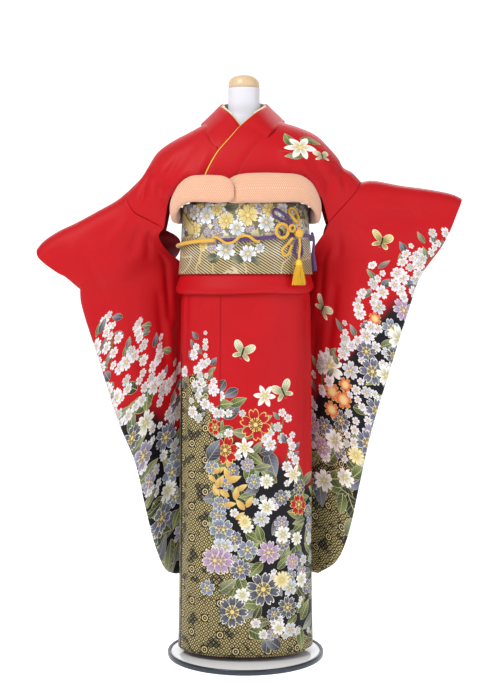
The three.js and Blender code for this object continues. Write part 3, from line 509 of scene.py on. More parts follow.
class Value:
    """A number in a shader: sockets joined by arithmetic."""

    def __init__(self, tree, socket):
        self.tree, self.socket = tree, socket

    def op(self, kind, *others):
        node = self.tree.nodes.new("ShaderNodeMath")
        node.operation = kind
        for slot, value in zip(node.inputs, (self, *others)):
            put(self.tree, slot, value)
        return Value(self.tree, node.outputs[0])

    def __add__(self, other):
        return self.op("ADD", other)

    def __sub__(self, other):
        return self.op("SUBTRACT", other)

    def __rsub__(self, other):
        return self.op("MULTIPLY", -1.0) + other

    def __mul__(self, other):
        return self.op("MULTIPLY", other)

    def __truediv__(self, other):
        return self.op("DIVIDE", other)

    __radd__, __rmul__ = __add__, __mul__

    def __abs__(self):
        return self.op("ABSOLUTE")

    def __pow__(self, other):
        return self.op("POWER", other)

    def fract(self):
        return self.op("FRACT")

    def wrapped(self):
        """How far it is past the middle between two whole numbers, from -0.5 to 0.5."""
        return self.fract() - 0.5

    def floor(self):
        return self.op("FLOOR")

    def over(self, low, high):
        """0 below low, 1 above high, soft between; the other way round where high is the lower."""
        node = self.tree.nodes.new("ShaderNodeMapRange")
        node.interpolation_type = "SMOOTHSTEP"
        start, end = (low, high) if high > low else (high, low)
        self.tree.links.new(self.socket, node.inputs["Value"])
        for slot, value in (("From Min", start), ("From Max", end)):
            node.inputs[slot].default_value = value
        node.inputs["To Min"].default_value = 0.0 if high > low else 1.0
        node.inputs["To Max"].default_value = 1.0 if high > low else 0.0
        return Value(self.tree, node.outputs["Result"])


def put(tree, slot, value):
    """Gives an input its socket, number or colour."""
    value = value.socket if isinstance(value, Value) else value
    if isinstance(value, bpy.types.NodeSocket):
        tree.links.new(value, slot)
    elif slot.type == "RGBA":
        slot.default_value = (*value[:3], 1)
    else:
        slot.default_value = value


def blend_colours(tree, share, first, second):
    """The first colour, changing to the second as the share goes from 0 to 1."""
    node = tree.nodes.new("ShaderNodeMix")
    node.data_type = "RGBA"
    for number, value in ((0, share), (6, first), (7, second)):
        put(tree, node.inputs[number], value)
    return node.outputs[2]


def linear(code):
    """A colour from its hexadecimal code, as the shaders use it."""
    parts = [int(code[k:k + 2], 16) / 255 for k in (0, 2, 4)]
    return tuple(v / 12.92 if v <= 0.04045 else ((v + 0.055) / 1.055) ** 2.4 for v in parts)


def new_group(name, inputs, outputs, kind="ShaderNodeTree"):
    """A group with named inputs and outputs, and its first and last node."""
    group = bpy.data.node_groups.new(name, kind)
    for side, sockets in (("INPUT", inputs), ("OUTPUT", outputs)):
        for label, value in sockets.items():
            group.interface.new_socket(label, in_out=side, socket_type=f"NodeSocket{value}")
    return group, group.nodes.new("NodeGroupInput"), group.nodes.new("NodeGroupOutput")


def noise_at(tree, place, scale, detail):
    node = tree.nodes.new("ShaderNodeTexNoise")
    for name, value in (("Vector", place), ("Scale", scale), ("Detail", detail)):
        put(tree, node.inputs[name], value)
    return Value(tree, node.outputs[0])


def slanted(u, v, cell, shift):
    """The two counts of cells across a grid turned by an eighth of a turn."""
    per_millimetre = 0.7071 / cell
    return (u + v) * per_millimetre + shift, (u - v) * per_millimetre + shift


def split(tree, socket):
    node = tree.nodes.new("ShaderNodeSeparateXYZ")
    tree.links.new(socket, node.inputs[0])
    return [Value(tree, out) for out in node.outputs]


def motif_group():
    """One painted motif: a blossom, a leaf or a butterfly, from its own coordinates and two colours."""
    inputs = {"Place": "Vector", "Main": "Color", "Second": "Color", "Petals": "Float", "Style": "Float"}
    group, start, end = new_group("painted motif", inputs, {"Color": "Color", "Mask": "Float"})
    x, y, kind = split(group, start.outputs["Place"])
    main, second = start.outputs["Main"], start.outputs["Second"]
    petals = Value(group, start.outputs["Petals"]) * MOST_PETALS
    style = Value(group, start.outputs["Style"])
    radius = (x * x + y * y).op("SQRT")
    angle = y.op("ARCTAN2", x)

    # Blossom: petals round a centre, notched, with a fine outline.
    share = (angle * petals * PER_TURN + 100.0).wrapped()
    apart = abs(share) * 2
    notch = (apart * apart * -40.0).op("EXPONENT") * 0.16
    round_edge = 1.0 - (apart ** 3.0) * 0.5 - notch
    sharp_edge = 1.0 - (apart ** 1.25) * 0.6
    roundness = abs(style - 0.5).over(0.1, 0.3)
    edge = sharp_edge * (1.0 - roundness) + round_edge * roundness
    inside = (edge - radius).over(0.0, 0.03)
    rim = (edge - radius).over(0.1, 0.06)
    gap = (apart + ((radius + 0.05) ** -1.0) * 0.045).over(0.95, 1.0) * radius.over(0.12, 0.3)
    tint = (radius / edge).over(0.1, 0.85)
    body = blend_colours(group, tint, second, main)
    ray = (angle * petals * (3 * PER_TURN) + 100.0).wrapped()
    stamens = abs(ray).over(0.16, 0.1) * radius.over(0.4, 0.34)
    dots = abs(ray).over(0.3, 0.2) * abs(radius - 0.38).over(0.05, 0.03)
    heart = radius.over(0.15, 0.11)
    gold = linear("E9CF7A")
    body = blend_colours(group, ((stamens * 0.8).op("MAXIMUM", dots)).op("MAXIMUM", heart), body, gold)
    pale = blend_colours(group, style.over(0.2, 0.4), linear("E2C878"), linear("EFEBDE"))
    pale = blend_colours(group, style.over(1.4, 1.6), pale, linear(DARK_LINE))
    body = blend_colours(group, rim.op("MAXIMUM", gap * 0.75), body, pale)

    # Leaf: pointed, with a midrib and veins.
    reach = (1.0 - (x * x)).op("MAXIMUM", 0.0)
    half = (reach ** 0.85) * (1.0 - x * 0.35) * (petals * 0.05)
    in_leaf = (half - abs(y)).over(0.0, 0.03)
    leaf_rim = (half - abs(y)).over(0.06, 0.035)
    rib = abs(y).over(0.035, 0.018)
    vein = (x * 3.6 - abs(y) * 3.0 + 100.0).wrapped()
    veins = abs(vein).over(0.07, 0.035) * 0.55
    leaf_tint = (x * 0.5 + 0.5 + y * 0.5).over(0.15, 0.95)
    leaf = blend_colours(group, leaf_tint, second, main)
    marks = leaf_rim.op("MAXIMUM", rib.op("MAXIMUM", veins)) * style.op("MINIMUM", 1.0)
    vein_colour = blend_colours(group, style.over(1.4, 1.6), linear("C9BD8C"), linear(DARK_LINE))
    leaf = blend_colours(group, marks, leaf, vein_colour)

    # Butterfly: two pairs of wings about a body.
    wing = y.op("ARCTAN2", abs(x))
    upper = ((wing - 0.8) * (wing - 0.8) * -2.3).op("EXPONENT")
    lower = ((wing + 0.55) * (wing + 0.55) * -3.6).op("EXPONENT") * 0.7
    wing_edge = upper.op("MAXIMUM", lower)
    in_wing = (wing_edge - radius).over(0.0, 0.03)
    wing_rim = (wing_edge - radius).over(0.11, 0.06)
    cells = (radius * 7.0).wrapped()
    spokes = (wing * 4.2 + 100.0).wrapped()
    net_lines = abs(cells).over(0.12, 0.05).op("MAXIMUM", abs(spokes).over(0.14, 0.06)) * 0.6
    wings = blend_colours(group, radius.over(0.25, 0.75), second, main)
    wings = blend_colours(group, net_lines, wings, linear("6B6A4A"))
    wings = blend_colours(group, wing_rim, wings, linear("F1E9C8"))
    trunk = abs(x).over(0.07, 0.04) * abs(y).over(0.42, 0.36)
    wings = blend_colours(group, trunk, wings, linear("2A2422"))
    in_wing = in_wing.op("MAXIMUM", trunk)

    is_leaf, is_wing = kind.over(1.4, 1.6), kind.over(2.4, 2.6)
    colour = blend_colours(group, is_leaf, body, leaf)
    colour = blend_colours(group, is_wing, colour, wings)
    mask = inside * (1.0 - is_leaf) + in_leaf * (is_leaf - is_wing) + in_wing * is_wing
    mask = mask * kind.over(0.4, 0.6)
    put(group, end.inputs["Color"], colour)
    put(group, end.inputs["Mask"], mask)
    return group


def lattice_group():
    """Gold lattice: crosses and dots on a slanted grid, and dark diamonds with a gold ring over it."""
    group, start, end = new_group("gold lattice", {"Place": "Vector"}, {"Color": "Color"})
    u, v, _ = split(group, start.outputs["Place"])
    cell = 9.5
    p, q = slanted(u, v, cell, 500.0)
    i, j = p.floor(), q.floor()
    x, y = p.wrapped(), q.wrapped()
    odd = ((i + j) * 0.5).fract().over(0.2, 0.3)
    cross = abs(x).op("MINIMUM", abs(y)).over(0.13, 0.08)
    square = abs(x).op("MAXIMUM", abs(y))
    dot = square.over(0.2, 0.15)
    grid = square.over(0.39, 0.45)
    gold, dark, olive = linear("D2BF86"), linear("121117"), linear("6E6538")
    plain = blend_colours(group, cross * square.over(0.4, 0.34), gold, dark)
    other = blend_colours(group, dot, olive, linear("D8C78E"))
    colour = blend_colours(group, odd, plain, other)
    colour = blend_colours(group, grid, colour, dark)
    wide = cell * 6
    xa, yb = (abs(count.wrapped()) for count in slanted(u, v, wide, 500.3))
    rosette = (xa + yb).over(0.26, 0.245)
    petal = (xa * xa + yb * yb).op("SQRT")
    ring = abs(petal - 0.12).over(0.03, 0.018).op("MAXIMUM", petal.over(0.04, 0.028))
    colour = blend_colours(group, rosette, colour, dark)
    colour = blend_colours(group, rosette * ring, colour, gold)
    patches = noise_at(group, start.outputs["Place"], 0.03, 2.0).over(0.5, 0.62)
    gaps = (1.0 - square.over(0.34, 0.28)).op("MAXIMUM", patches * 0.6)
    colour = blend_colours(group, patches * gaps * (1.0 - rosette), colour, linear("17171B"))
    group.links.new(colour, end.inputs["Color"])
    return group


def weave_group():
    """Fine threads of a plain silk as a height, and a slow unevenness of the dye."""
    group, start, end = new_group("silk weave", {"Place": "Vector", "Threads": "Float"},
                                  {"Height": "Float", "Cloud": "Float"})
    u, v, _ = split(group, start.outputs["Place"])
    threads = Value(group, start.outputs["Threads"])
    height = (u * threads).op("SINE") * 0.5 + (v * threads).op("SINE") * 0.5
    put(group, end.inputs["Height"], height)
    put(group, end.inputs["Cloud"], noise_at(group, start.outputs["Place"], 0.009, 3.0))
    return group


MOTIF, LATTICE, WEAVE = motif_group(), lattice_group(), weave_group()
LAYERS = 6


def attribute(tree, name):
    node = tree.nodes.new("ShaderNodeAttribute")
    node.attribute_name = name
    return node


def new_material(name, roughness, metal=0.0, sheen=0.0, coat=0.0):
    material = bpy.data.materials.new(name)
    material.use_nodes = True
    tree = material.node_tree
    shader = tree.nodes["Principled BSDF"]
    for label, value in (("Roughness", roughness), ("Metallic", metal), ("Sheen Weight", sheen),
                         ("Coat Weight", coat)):
        shader.inputs[label].default_value = value
    return material, tree, shader


def flat_millimetres(tree):
    """The cloth's flat coordinates in millimetres."""
    source = tree.nodes.new("ShaderNodeUVMap")
    source.uv_map = "flat"
    scale = tree.nodes.new("ShaderNodeVectorMath")
    scale.operation = "SCALE"
    scale.inputs["Scale"].default_value = 1000
    tree.links.new(source.outputs[0], scale.inputs[0])
    return scale.outputs[0]


def use_group(tree, group, **values):
    node = tree.nodes.new("ShaderNodeGroup")
    node.node_tree = group
    for name, value in values.items():
        put(tree, node.inputs[name], value)
    return node


def surface(tree, shader, colour, height, strength, distance=0.0004):
    """Colour and fine relief of a finish."""
    put(tree, shader.inputs["Base Color"], colour)
    node = tree.nodes.new("ShaderNodeBump")
    for name, value in (("Strength", strength), ("Distance", distance), ("Height", height)):
        put(tree, node.inputs[name], value)
    put(tree, shader.inputs["Normal"], node.outputs[0])


def motifs_over(tree, colour):
    """The painted motifs, layer over layer, on a ground."""
    for layer in range(LAYERS):
        place, main, second = (attribute(tree, f"{part}{layer}") for part in ("place", "main", "second"))
        node = use_group(tree, MOTIF, Place=place.outputs["Vector"], Main=main.outputs["Color"],
                         Second=second.outputs["Color"], Petals=main.outputs["Alpha"],
                         Style=second.outputs["Alpha"])
        colour = blend_colours(tree, Value(tree, node.outputs["Mask"]), colour, node.outputs["Color"])
    return colour


RED, BRIGHT_RED, BLACK = linear("B60A14"), linear("C4101A"), linear("131118")


def silk(name, painted, lining="B9132A"):
    """Satin silk: red shading into black and gold lattice by the zone of the cloth, motifs over it."""
    material, tree, shader = new_material(name, roughness=0.52)
    shader.inputs["Specular IOR Level"].default_value = 0.2
    place = flat_millimetres(tree)
    weave = use_group(tree, WEAVE, Place=place, Threads=6.0)
    cloud = Value(tree, weave.outputs["Cloud"])
    colour = blend_colours(tree, cloud.over(0.3, 0.75) * 0.35, RED, BRIGHT_RED)
    if painted:
        zone = attribute(tree, "zone")
        dark, lattice, _ = split(tree, zone.outputs["Vector"])
        uneven = (cloud - 0.5) * 0.5
        # The zone's first field turns the red to black: the black ground of the dye, and on the skirt's
        # under front a painted shadow strip.
        colour = blend_colours(tree, (dark + uneven).over(0.3, 0.75), colour, BLACK)
        woven = use_group(tree, LATTICE, Place=place)
        colour = blend_colours(tree, (lattice + uneven).over(0.45, 0.58), colour, woven.outputs["Color"])
        colour = motifs_over(tree, colour)
    side = Value(tree, attribute(tree, "side").outputs["Fac"])
    u, _, _ = split(tree, place)
    inner = blend_colours(tree, u.over(380.0, 420.0), linear("8E0F1C"), linear(lining))
    colour = blend_colours(tree, side.over(0.6, 0.9), colour, inner)
    surface(tree, shader, colour, weave.outputs["Height"], 0.12)
    return material


def plain_cloth(name, code, roughness, threads, strength):
    material, tree, shader = new_material(name, roughness, sheen=0.2)
    weave = use_group(tree, WEAVE, Place=flat_millimetres(tree), Threads=threads)
    cloud = Value(tree, weave.outputs["Cloud"]).over(0.35, 0.7)
    colour = blend_colours(tree, cloud * 0.12, linear(code), (0.02, 0.02, 0.02))
    surface(tree, shader, colour, weave.outputs["Height"], strength)
    return material


def braid_group():
    """Rows of slanted stitches round a cord, with painted shade in the grooves between them."""
    group, start, end = new_group("braid", {"Place": "Vector", "Light": "Color", "Deep": "Color"},
                                  {"Color": "Color", "Height": "Float"})
    u, v, _ = split(group, start.outputs["Place"])
    slant = abs((v * 0.32 + u * 0.26 + 500.0).wrapped())
    other = abs((v * 0.32 - u * 0.26 + 500.0).wrapped())
    groove = slant.op("MAXIMUM", other)
    # Painted shade: the grooves between the stitches take the darker colour.
    colour = blend_colours(group, groove.over(0.34, 0.48), start.outputs["Light"], start.outputs["Deep"])
    put(group, end.inputs["Color"], colour)
    put(group, end.inputs["Height"], 1.0 - groove)
    return group


BRAID = braid_group()
# Each pair: the braid's own colour, and a darker one painted as shade in its grooves.
YELLOWS, PURPLES = ("F3BE2A", "A66B10"), ("5A2A78", "2A1340")


def braid_material(name, first, second=None):
    """Round braided silk, of one colour or with a second one from the crossing in front on."""
    material, tree, shader = new_material(name, roughness=0.48, sheen=0.5)
    # deep is the painted shade of the grooves.
    light, deep = (linear(code) for code in first)
    if second:
        source = tree.nodes.new("ShaderNodeTexCoord")
        x, y, _ = split(tree, source.outputs["Object"])
        share = x.over(-0.08, -0.07).op("MAXIMUM", y.over(0.05, 0.06))
        light, deep = (blend_colours(tree, share, linear(a), linear(b)) for a, b in zip(first, second))
    braid = use_group(tree, BRAID, Place=flat_millimetres(tree), Light=light, Deep=deep)
    surface(tree, shader, braid.outputs["Color"], braid.outputs["Height"], 0.6, 0.001)
    return material


def scarf_material():
    """Tie-dyed crepe: a fine slanted grid of raised points, pale in the middle."""
    material, tree, shader = new_material("scarf silk", roughness=0.82, sheen=0.5)
    place = flat_millimetres(tree)
    u, v, _ = split(tree, place)
    p, q = (count.wrapped() for count in slanted(u, v, 3.3, 100.0))
    away = (p * p + q * q).op("SQRT")
    point = away.over(0.46, 0.1)
    colour = blend_colours(tree, point, linear("DCA07E"), linear("EFC8AA"))
    colour = blend_colours(tree, away.over(0.18, 0.06) * 0.5, colour, linear("FBE6D2"))
    surface(tree, shader, colour, point, 0.8, 0.001)
    return material


def brocade_material():
    """Brocade: gold ground, dark slanting lines over the lower half, woven blossoms."""
    material, tree, shader = new_material("obi brocade", roughness=0.36, metal=0.15, sheen=0.1)
    place = flat_millimetres(tree)
    u, v, _ = split(tree, place)
    weave = use_group(tree, WEAVE, Place=place, Threads=7.0)
    cloud = Value(tree, weave.outputs["Cloud"])
    ground = blend_colours(tree, cloud.over(0.35, 0.65), linear("E6DFC4"), linear("C4B078"))
    lines = ((u * 0.55 + v * 0.83) * (1 / 6.0) + cloud * 2.2 + 100.0).wrapped()
    broken = ((u * 0.83 - v * 0.55) * (1 / 58.0) + cloud * 5.0 + 100.0).fract()
    dark_line = abs(lines).over(0.27, 0.17) * broken.over(0.08, 0.2)
    thread = ((u * 0.55 + v * 0.83) * (1 / 2.4) + 100.0).fract()
    low = attribute(tree, "zone")
    shade, gold_part, _ = split(tree, low.outputs["Vector"])
    colour = blend_colours(tree, gold_part.over(0.2, 0.8) * 0.5, ground, linear("B89E58"))
    busy = (1.0 - shade.over(0.2, 0.7)) * (1.0 - gold_part.over(0.2, 0.5))
    busy = busy * noise_at(tree, place, 0.045, 1.0).over(0.47, 0.51)
    colour = blend_colours(tree, busy * (0.55 + thread * 0.4), colour, linear("211E22"))
    colour = blend_colours(tree, dark_line * shade.over(0.25, 0.7), colour, linear("1E1B1E"))
    colour = motifs_over(tree, colour)
    surface(tree, shader, colour, weave.outputs["Height"], 0.35)
    return material


def plain_material(name, code, roughness, metal=0.0, coat=0.0):
    material, _, shader = new_material(name, roughness, metal, 0.0, coat)
    shader.inputs["Base Color"].default_value = (*linear(code), 1)
    return material


def wood_material():
    material, tree, shader = new_material("wood", roughness=0.42, coat=0.25)
    source = tree.nodes.new("ShaderNodeTexCoord")
    wave = tree.nodes.new("ShaderNodeTexWave")
    wave.bands_direction = "X"
    for slot, value in (("Scale", 90.0), ("Distortion", 3.5), ("Detail", 3.0), ("Detail Scale", 1.4)):
        wave.inputs[slot].default_value = value
    tree.links.new(source.outputs["Object"], wave.inputs["Vector"])
    share = Value(tree, wave.outputs["Fac"])
    colour = blend_colours(tree, share * 0.5, linear("D9BE98"), linear("BE9A6C"))
    tree.links.new(colour, shader.inputs["Base Color"])
    return material


# ---- Painting ----------------------------------------------------------------------------------

BLOSSOM, LEAF, BUTTERFLY = 1, 2, 3
# name: kind, main colour, second colour, petals (of a leaf, its width), style.
# A blossom's style: 0 gold outline, round petals; 0.5 pale outline, pointed petals; 1 pale outline,
# round petals; 2 dark outline.
PAINTS = {
    "white spray": (BLOSSOM, "E6E3EA", "958CA2", 5, 1.0),
    "white bloom": (BLOSSOM, "EFECE4", "98A290", 6, 1.0),
    "grey bloom": (BLOSSOM, "6E7086", "33344A", 7, 1.0),
    "slate bloom": (BLOSSOM, "5E606C", "26272F", 8, 0.9),
    "plum bloom": (BLOSSOM, "848DA2", "4C566C", 5, 1.0), "red lily": (BLOSSOM, "BE1A22", "5A0A14", 6, 0.0),
    "white lily": (BLOSSOM, "F2EDE6", "B0AA90", 6, 0.56),
    "lilac peony": (BLOSSOM, "B698B6", "74588A", 7, 0.9),
    "orange bloom": (BLOSSOM, "D9603A", "EAD9A0", 6, 0.0),
    "cream bloom": (BLOSSOM, "EFE2B4", "B9A86E", 11, 0.0),
    "green leaf": (LEAF, "7E8C54", "43552F", 10, 0.9), "dark leaf": (LEAF, "4D5E3A", "232C22", 10, 0.8),
    "sage leaf": (LEAF, "8E9474", "566048", 9, 0.8), "teal leaf": (LEAF, "4E8F86", "1F4A4C", 2.6, 0.6),
    "grey leaf": (LEAF, "7C8090", "3C4050", 11, 0.6), "amber leaf": (LEAF, "E4C878", "D09A48", 9, 0.9),
    "stem": (LEAF, "7C7A44", "55552F", 1.3, 0.0), "fine line": (LEAF, "A8572F", "8C3A22", 0.9, 0.0),
    "cream wing": (BUTTERFLY, "E2DEBC", "A3A67C", 5, 0.0),
    "gold wing": (BUTTERFLY, "E6D28C", "9C8C4A", 5, 0.0),
    "gold bloom": (BLOSSOM, "E2D08A", "B89C4C", 6, 2.0),
    "pale bloom": (BLOSSOM, "E6E9EC", "8E9AAA", 6, 2.0),
    "violet bloom": (BLOSSOM, "9C94B0", "574E74", 6, 0.9), "ink leaf": (LEAF, "8F946E", "4C5240", 11, 2.0),
    "snow bloom": (BLOSSOM, "C9CCD4", "767D90", 5, 1.0), "ash leaf": (LEAF, "8E9290", "565C58", 9, 0.7),
}


def paint(item, motifs, zone):
    """Gives each face the coordinates and colours of the motifs it lies in; later motifs are in front."""
    mesh = item.data
    count, faces = len(mesh.loops), len(mesh.polygons)
    flat, starts, totals = np.empty(count * 2), np.empty(faces, int), np.empty(faces, int)
    mesh.uv_layers["flat"].data.foreach_get("uv", flat)
    mesh.polygons.foreach_get("loop_start", starts)
    mesh.polygons.foreach_get("loop_total", totals)
    flat = flat.reshape(-1, 2) * 1000
    owner = np.repeat(np.arange(faces), totals)
    middle = np.add.reduceat(flat, starts) / totals[:, None]
    spare = np.hypot(*(flat - middle[owner]).T).max()
    taken = np.zeros((faces, LAYERS), bool)
    in_front = []
    place, main, second = (np.zeros((LAYERS, count, size)) for size in (3, 4, 4))
    for name, u, v, size, turn in reversed(motifs):
        kind, code, second_code, petals, style = PAINTS[name]
        c, s = math.cos(math.radians(turn)), math.sin(math.radians(turn))
        from_u, from_v, margin = middle[:, 0] - u, middle[:, 1] - v, min(spare, 6)
        near = np.hypot(from_u, from_v) < size + margin
        if kind == LEAF:
            near &= np.abs(from_v * c - from_u * s) < size * petals * 0.054 + margin
        over_this = [layer for a, b, reach, layer in in_front
                     if math.hypot(a - u, b - v) < (reach + size) * 0.8]
        free = [layer for layer in range(min(over_this, default=LAYERS)) if not taken[near, layer].any()]
        if not near.any() or not free:
            continue
        top = free[-1]
        taken[near, top] = True
        if kind != LEAF:
            in_front.append((u, v, size, top))
        corners = near[owner]
        away = flat[corners] - (u, v)
        place[top, corners] = np.stack([(away[:, 0] * c + away[:, 1] * s) / size,
                                        (away[:, 1] * c - away[:, 0] * s) / size,
                                        np.full(corners.sum(), kind)], -1)
        main[top, corners] = (*linear(code), petals / MOST_PETALS)
        second[top, corners] = (*linear(second_code), style)
    for layer in range(LAYERS):
        for part, data in (("place", place), ("main", main), ("second", second)):
            kind = "FLOAT_VECTOR" if part == "place" else "FLOAT_COLOR"
            store = mesh.attributes.new(f"{part}{layer}", kind, "CORNER")
            store.data.foreach_set("vector" if part == "place" else "color", data[layer].ravel())
    ground = np.zeros((count, 3))
    ground[:, 0], ground[:, 1] = zone(flat[:, 0], flat[:, 1])
    store = mesh.attributes.new("zone", "FLOAT_VECTOR", "CORNER")
    store.data.foreach_set("vector", ground.ravel())


def hand_over(item, material, node):
    """Gives a finished piece its material, its body and the node it stands for."""
    if not item.data.materials:
        item.data.materials.append(material)
    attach(item, "root")
    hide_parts(node)


def hand_over_sheet(item, material, node):
    """The same for a cut sheet."""
    hand_over(item, material, node)


# ---- Materials in use --------------------------------------------------------------------------

SILK_PAINTED = silk("painted silk", painted=True)
SILK_PLAIN = silk("red silk", painted=False)
SLEEVE_SILK = silk("sleeve silk", painted=True, lining="1D1A22")
BROCADE = brocade_material()
YELLOW_SILK = plain_cloth("yellow collar silk", "F4C33A", 0.55, 5.0, 0.15)
WHITE_CREPE = plain_cloth("white crepe", "F4F1EA", 0.75, 4.0, 0.5)
SCARF_SILK = scarf_material()
BRAIDS = {
    "purple": (braid_material("purple braid", PURPLES), "cord_purple"),
    "yellow": (braid_material("yellow braid", YELLOWS), "cord_yellow"),
    "both": (braid_material("two-coloured braid", YELLOWS, PURPLES), "cord_purple"),
}
TASSEL_SILK = plain_material("tassel silk", "F8C832", 0.5)
FORM_COVER = plain_material("form cover", "D9D8DF", 0.5)
WHITE_GLOSS = plain_material("white gloss", "F7F7F7", 0.12, 0.0, 0.6)
STEEL = plain_material("dark steel", "41464E", 0.3, 0.75)
WOOD = wood_material()


# ---- Skirt -------------------------------------------------------------------------------------

def turn_lengths():
    turns = np.linspace(-180, 180, 721)
    line = on_oval(SKIRT, np.full(721, 500.0), turns)
    return turns, distances(line)


TURNS, LENGTHS = turn_lengths()
LENGTHS = LENGTHS - np.interp(0, TURNS, LENGTHS)


def around(turn):
    """Distance round the skirt from the front middle."""
    return np.interp(turn, TURNS, LENGTHS)


# Soft folds down the skirt: from (round, up) to (round, up), half width, height.
SKIRT_FOLDS = [
    (-190, 940, -205, 420, 16, 2.6), (-172, 930, -180, 560, 10, -2.4), (-150, 940, -158, 180, 14, 2.0),
    (-60, 940, -58, 60, 5, -0.9), (-96, 930, -120, 640, 18, -1.6), (30, 940, 10, 640, 26, 1.4),
    (100, 940, 78, 500, 22, -1.8), (150, 940, 128, 560, 18, 2.0), (186, 930, 172, 420, 14, -2.6),
    (210, 940, 206, 300, 14, 2.4), (60, 420, 96, 60, 30, 1.6), (-30, 380, -60, 60, 30, -1.4),
    (150, 300, 166, 60, 20, -1.8), (250, 940, 262, 420, 20, -2.4), (300, 930, 312, 240, 22, 2.4),
    (360, 940, 350, 400, 24, -2.2), (420, 940, 428, 300, 24, 2.2), (-250, 940, -262, 420, 20, -2.4),
    (-300, 930, -312, 240, 22, 2.4), (-360, 940, -350, 400, 24, -2.2), (-420, 940, -428, 300, 24, 2.2),
    (479, 940, 479, 60, 3.5, -1.0), (-479, 940, -479, 60, 3.5, -1.0)]


def skirt_net(start, end, hem, inset=None):
    turns = np.linspace(start, end, int(abs(end - start) / 1.5) + 1)
    turns[0] += 0.06
    turns[-1] -= 0.06
    levels = np.r_[hem, hem + 3, np.linspace(hem + 9, SKIRT_TOP, 150)][:, None]
    length = np.broadcast_to(around(turns)[None], (len(levels), len(turns)))
    fade = smooth((levels - hem) / 12) * smooth((985 - levels) / 40)
    fold = 1.2 * crease_at(SKIRT_FOLDS, length, levels) * fade
    inward = CLOTH + (inset(turns)[None] if inset else 0)
    grid = on_oval(SKIRT, np.broadcast_to(levels, length.shape), turns[None], fold - inward)
    return Net([(grid, stacked(length, levels))], (0, 0, 600))


def under_inset(turns):
    return (CLOTH + AIR) * smooth((turns + 90) / 16)


# ---- Motif layouts -----------------------------------------------------------------------------

WHITE_SMALL = ["white spray", "white spray", "white spray", "snow bloom"]
LEAVES = ["green leaf", "sage leaf", "dark leaf", "sage leaf", "grey leaf", "ash leaf", "green leaf"]
MIXED = ["white bloom", "grey bloom", "plum bloom", "slate bloom", "snow bloom", "violet bloom",
         "grey bloom"]
SPRAY_WIDE = 28


def named(*groups):
    """Rows of a table, each with its group's name in front."""
    return [(name, *row) for name, rows in groups for row in rows]


def spray(rng, u, v, lean, long, count, size):
    """A loose branch of small white blossoms and leaves from a foot upwards."""
    upright = math.degrees(math.atan2(1, lean))
    found = [("stem", u + lean * long * 0.5, v + long * 0.45, long * 0.56, upright)]
    for k in range(count // 2):
        share, side = (k + 0.3) / (count // 2), rng.choice((-1, 1))
        found.append((rng.choice(("ash leaf", "sage leaf", "grey leaf")),
                      u + lean * long * share + side * SPRAY_WIDE * 0.7, v + long * share + 8, size * 1.2,
                      upright - side * rng.uniform(30, 60)))
    count = round(count * 0.8)
    for k in range(count):
        share = (k + 0.6) / count
        wide = SPRAY_WIDE * (1.1 - share * 0.75)
        found.append((rng.choice(WHITE_SMALL), u + lean * long * share + rng.uniform(-wide, wide),
                      v + long * share + rng.uniform(-7, 7),
                      size * rng.uniform(0.7, 1.4) * (1.2 - share * 0.5), rng.uniform(0, 360)))
    return found


def sprays_at(rng, size, rows):
    """Branches from a table: foot across, foot up, lean, length, blossoms."""
    return [motif for row in rows for motif in spray(rng, *row, size)]


def scatter(rng, area, count, sizes, kinds, keep, beside=(), close=0.8):
    """Motifs strewn over a box wherever keep says yes, apart from one another and from those beside."""
    found = []
    for _ in range(count * 10):
        u, v = rng.uniform(area[0], area[1]), rng.uniform(area[2], area[3])
        size = rng.uniform(*sizes)
        if not keep(u, v) or any(math.hypot(u - b[1], v - b[2]) < b[3] * 0.85 for b in beside):
            continue
        if all(math.hypot(u - a[1], v - a[2]) > (size + a[3]) * close for a in found):
            found.append((rng.choice(kinds), u, v, size, rng.uniform(0, 360)))
        if len(found) >= count:
            break
    return found


def placed(net, motifs, face=-1):
    """Motifs given across and up as seen, moved to the net's flat coordinates."""
    seen = np.flatnonzero(net.normals[:, 1] * face > 0.05)
    spots = net.points[seen][:, [0, 2]]
    found = []
    for name, x, up, size, turn in motifs if len(seen) else ():
        away = np.hypot(spots[:, 0] - x, spots[:, 1] - up)
        k = int(away.argmin())
        if away[k] < 14:
            u, v = net.flat[seen[k]]
            found.append((name, float(u), float(v), size, turn))
    return found


def filled_in(rng, keep, large, mixed, small, leaves):
    """Leaves and blossoms round the large ones; for each kind a box, a number and a span of sizes."""
    mixed = scatter(rng, *mixed, MIXED, keep, large, 0.7)
    small = scatter(rng, *small, WHITE_SMALL, keep, large + mixed, 0.7)
    return scatter(rng, *leaves, LEAVES, keep, (), 0.3), small, mixed


def edge_between(x, points):
    return np.interp(x, *np.transpose(points))


# Upper edge of the flowers across the front of the skirt, and of each sleeve: across, up.
SKIRT_EDGE = [(-300, 700), (-200, 820), (-150, 850), (-60, 745), (20, 700), (90, 610), (160, 500),
              (200, 470), (300, 520)]
SLEEVE_EDGE = {"right": [(-480, 700), (-380, 830), (-300, 800), (-200, 690), (-60, 640)],
               "left": [(60, 600), (180, 690), (250, 770), (330, 900), (420, 1020), (500, 1100)]}


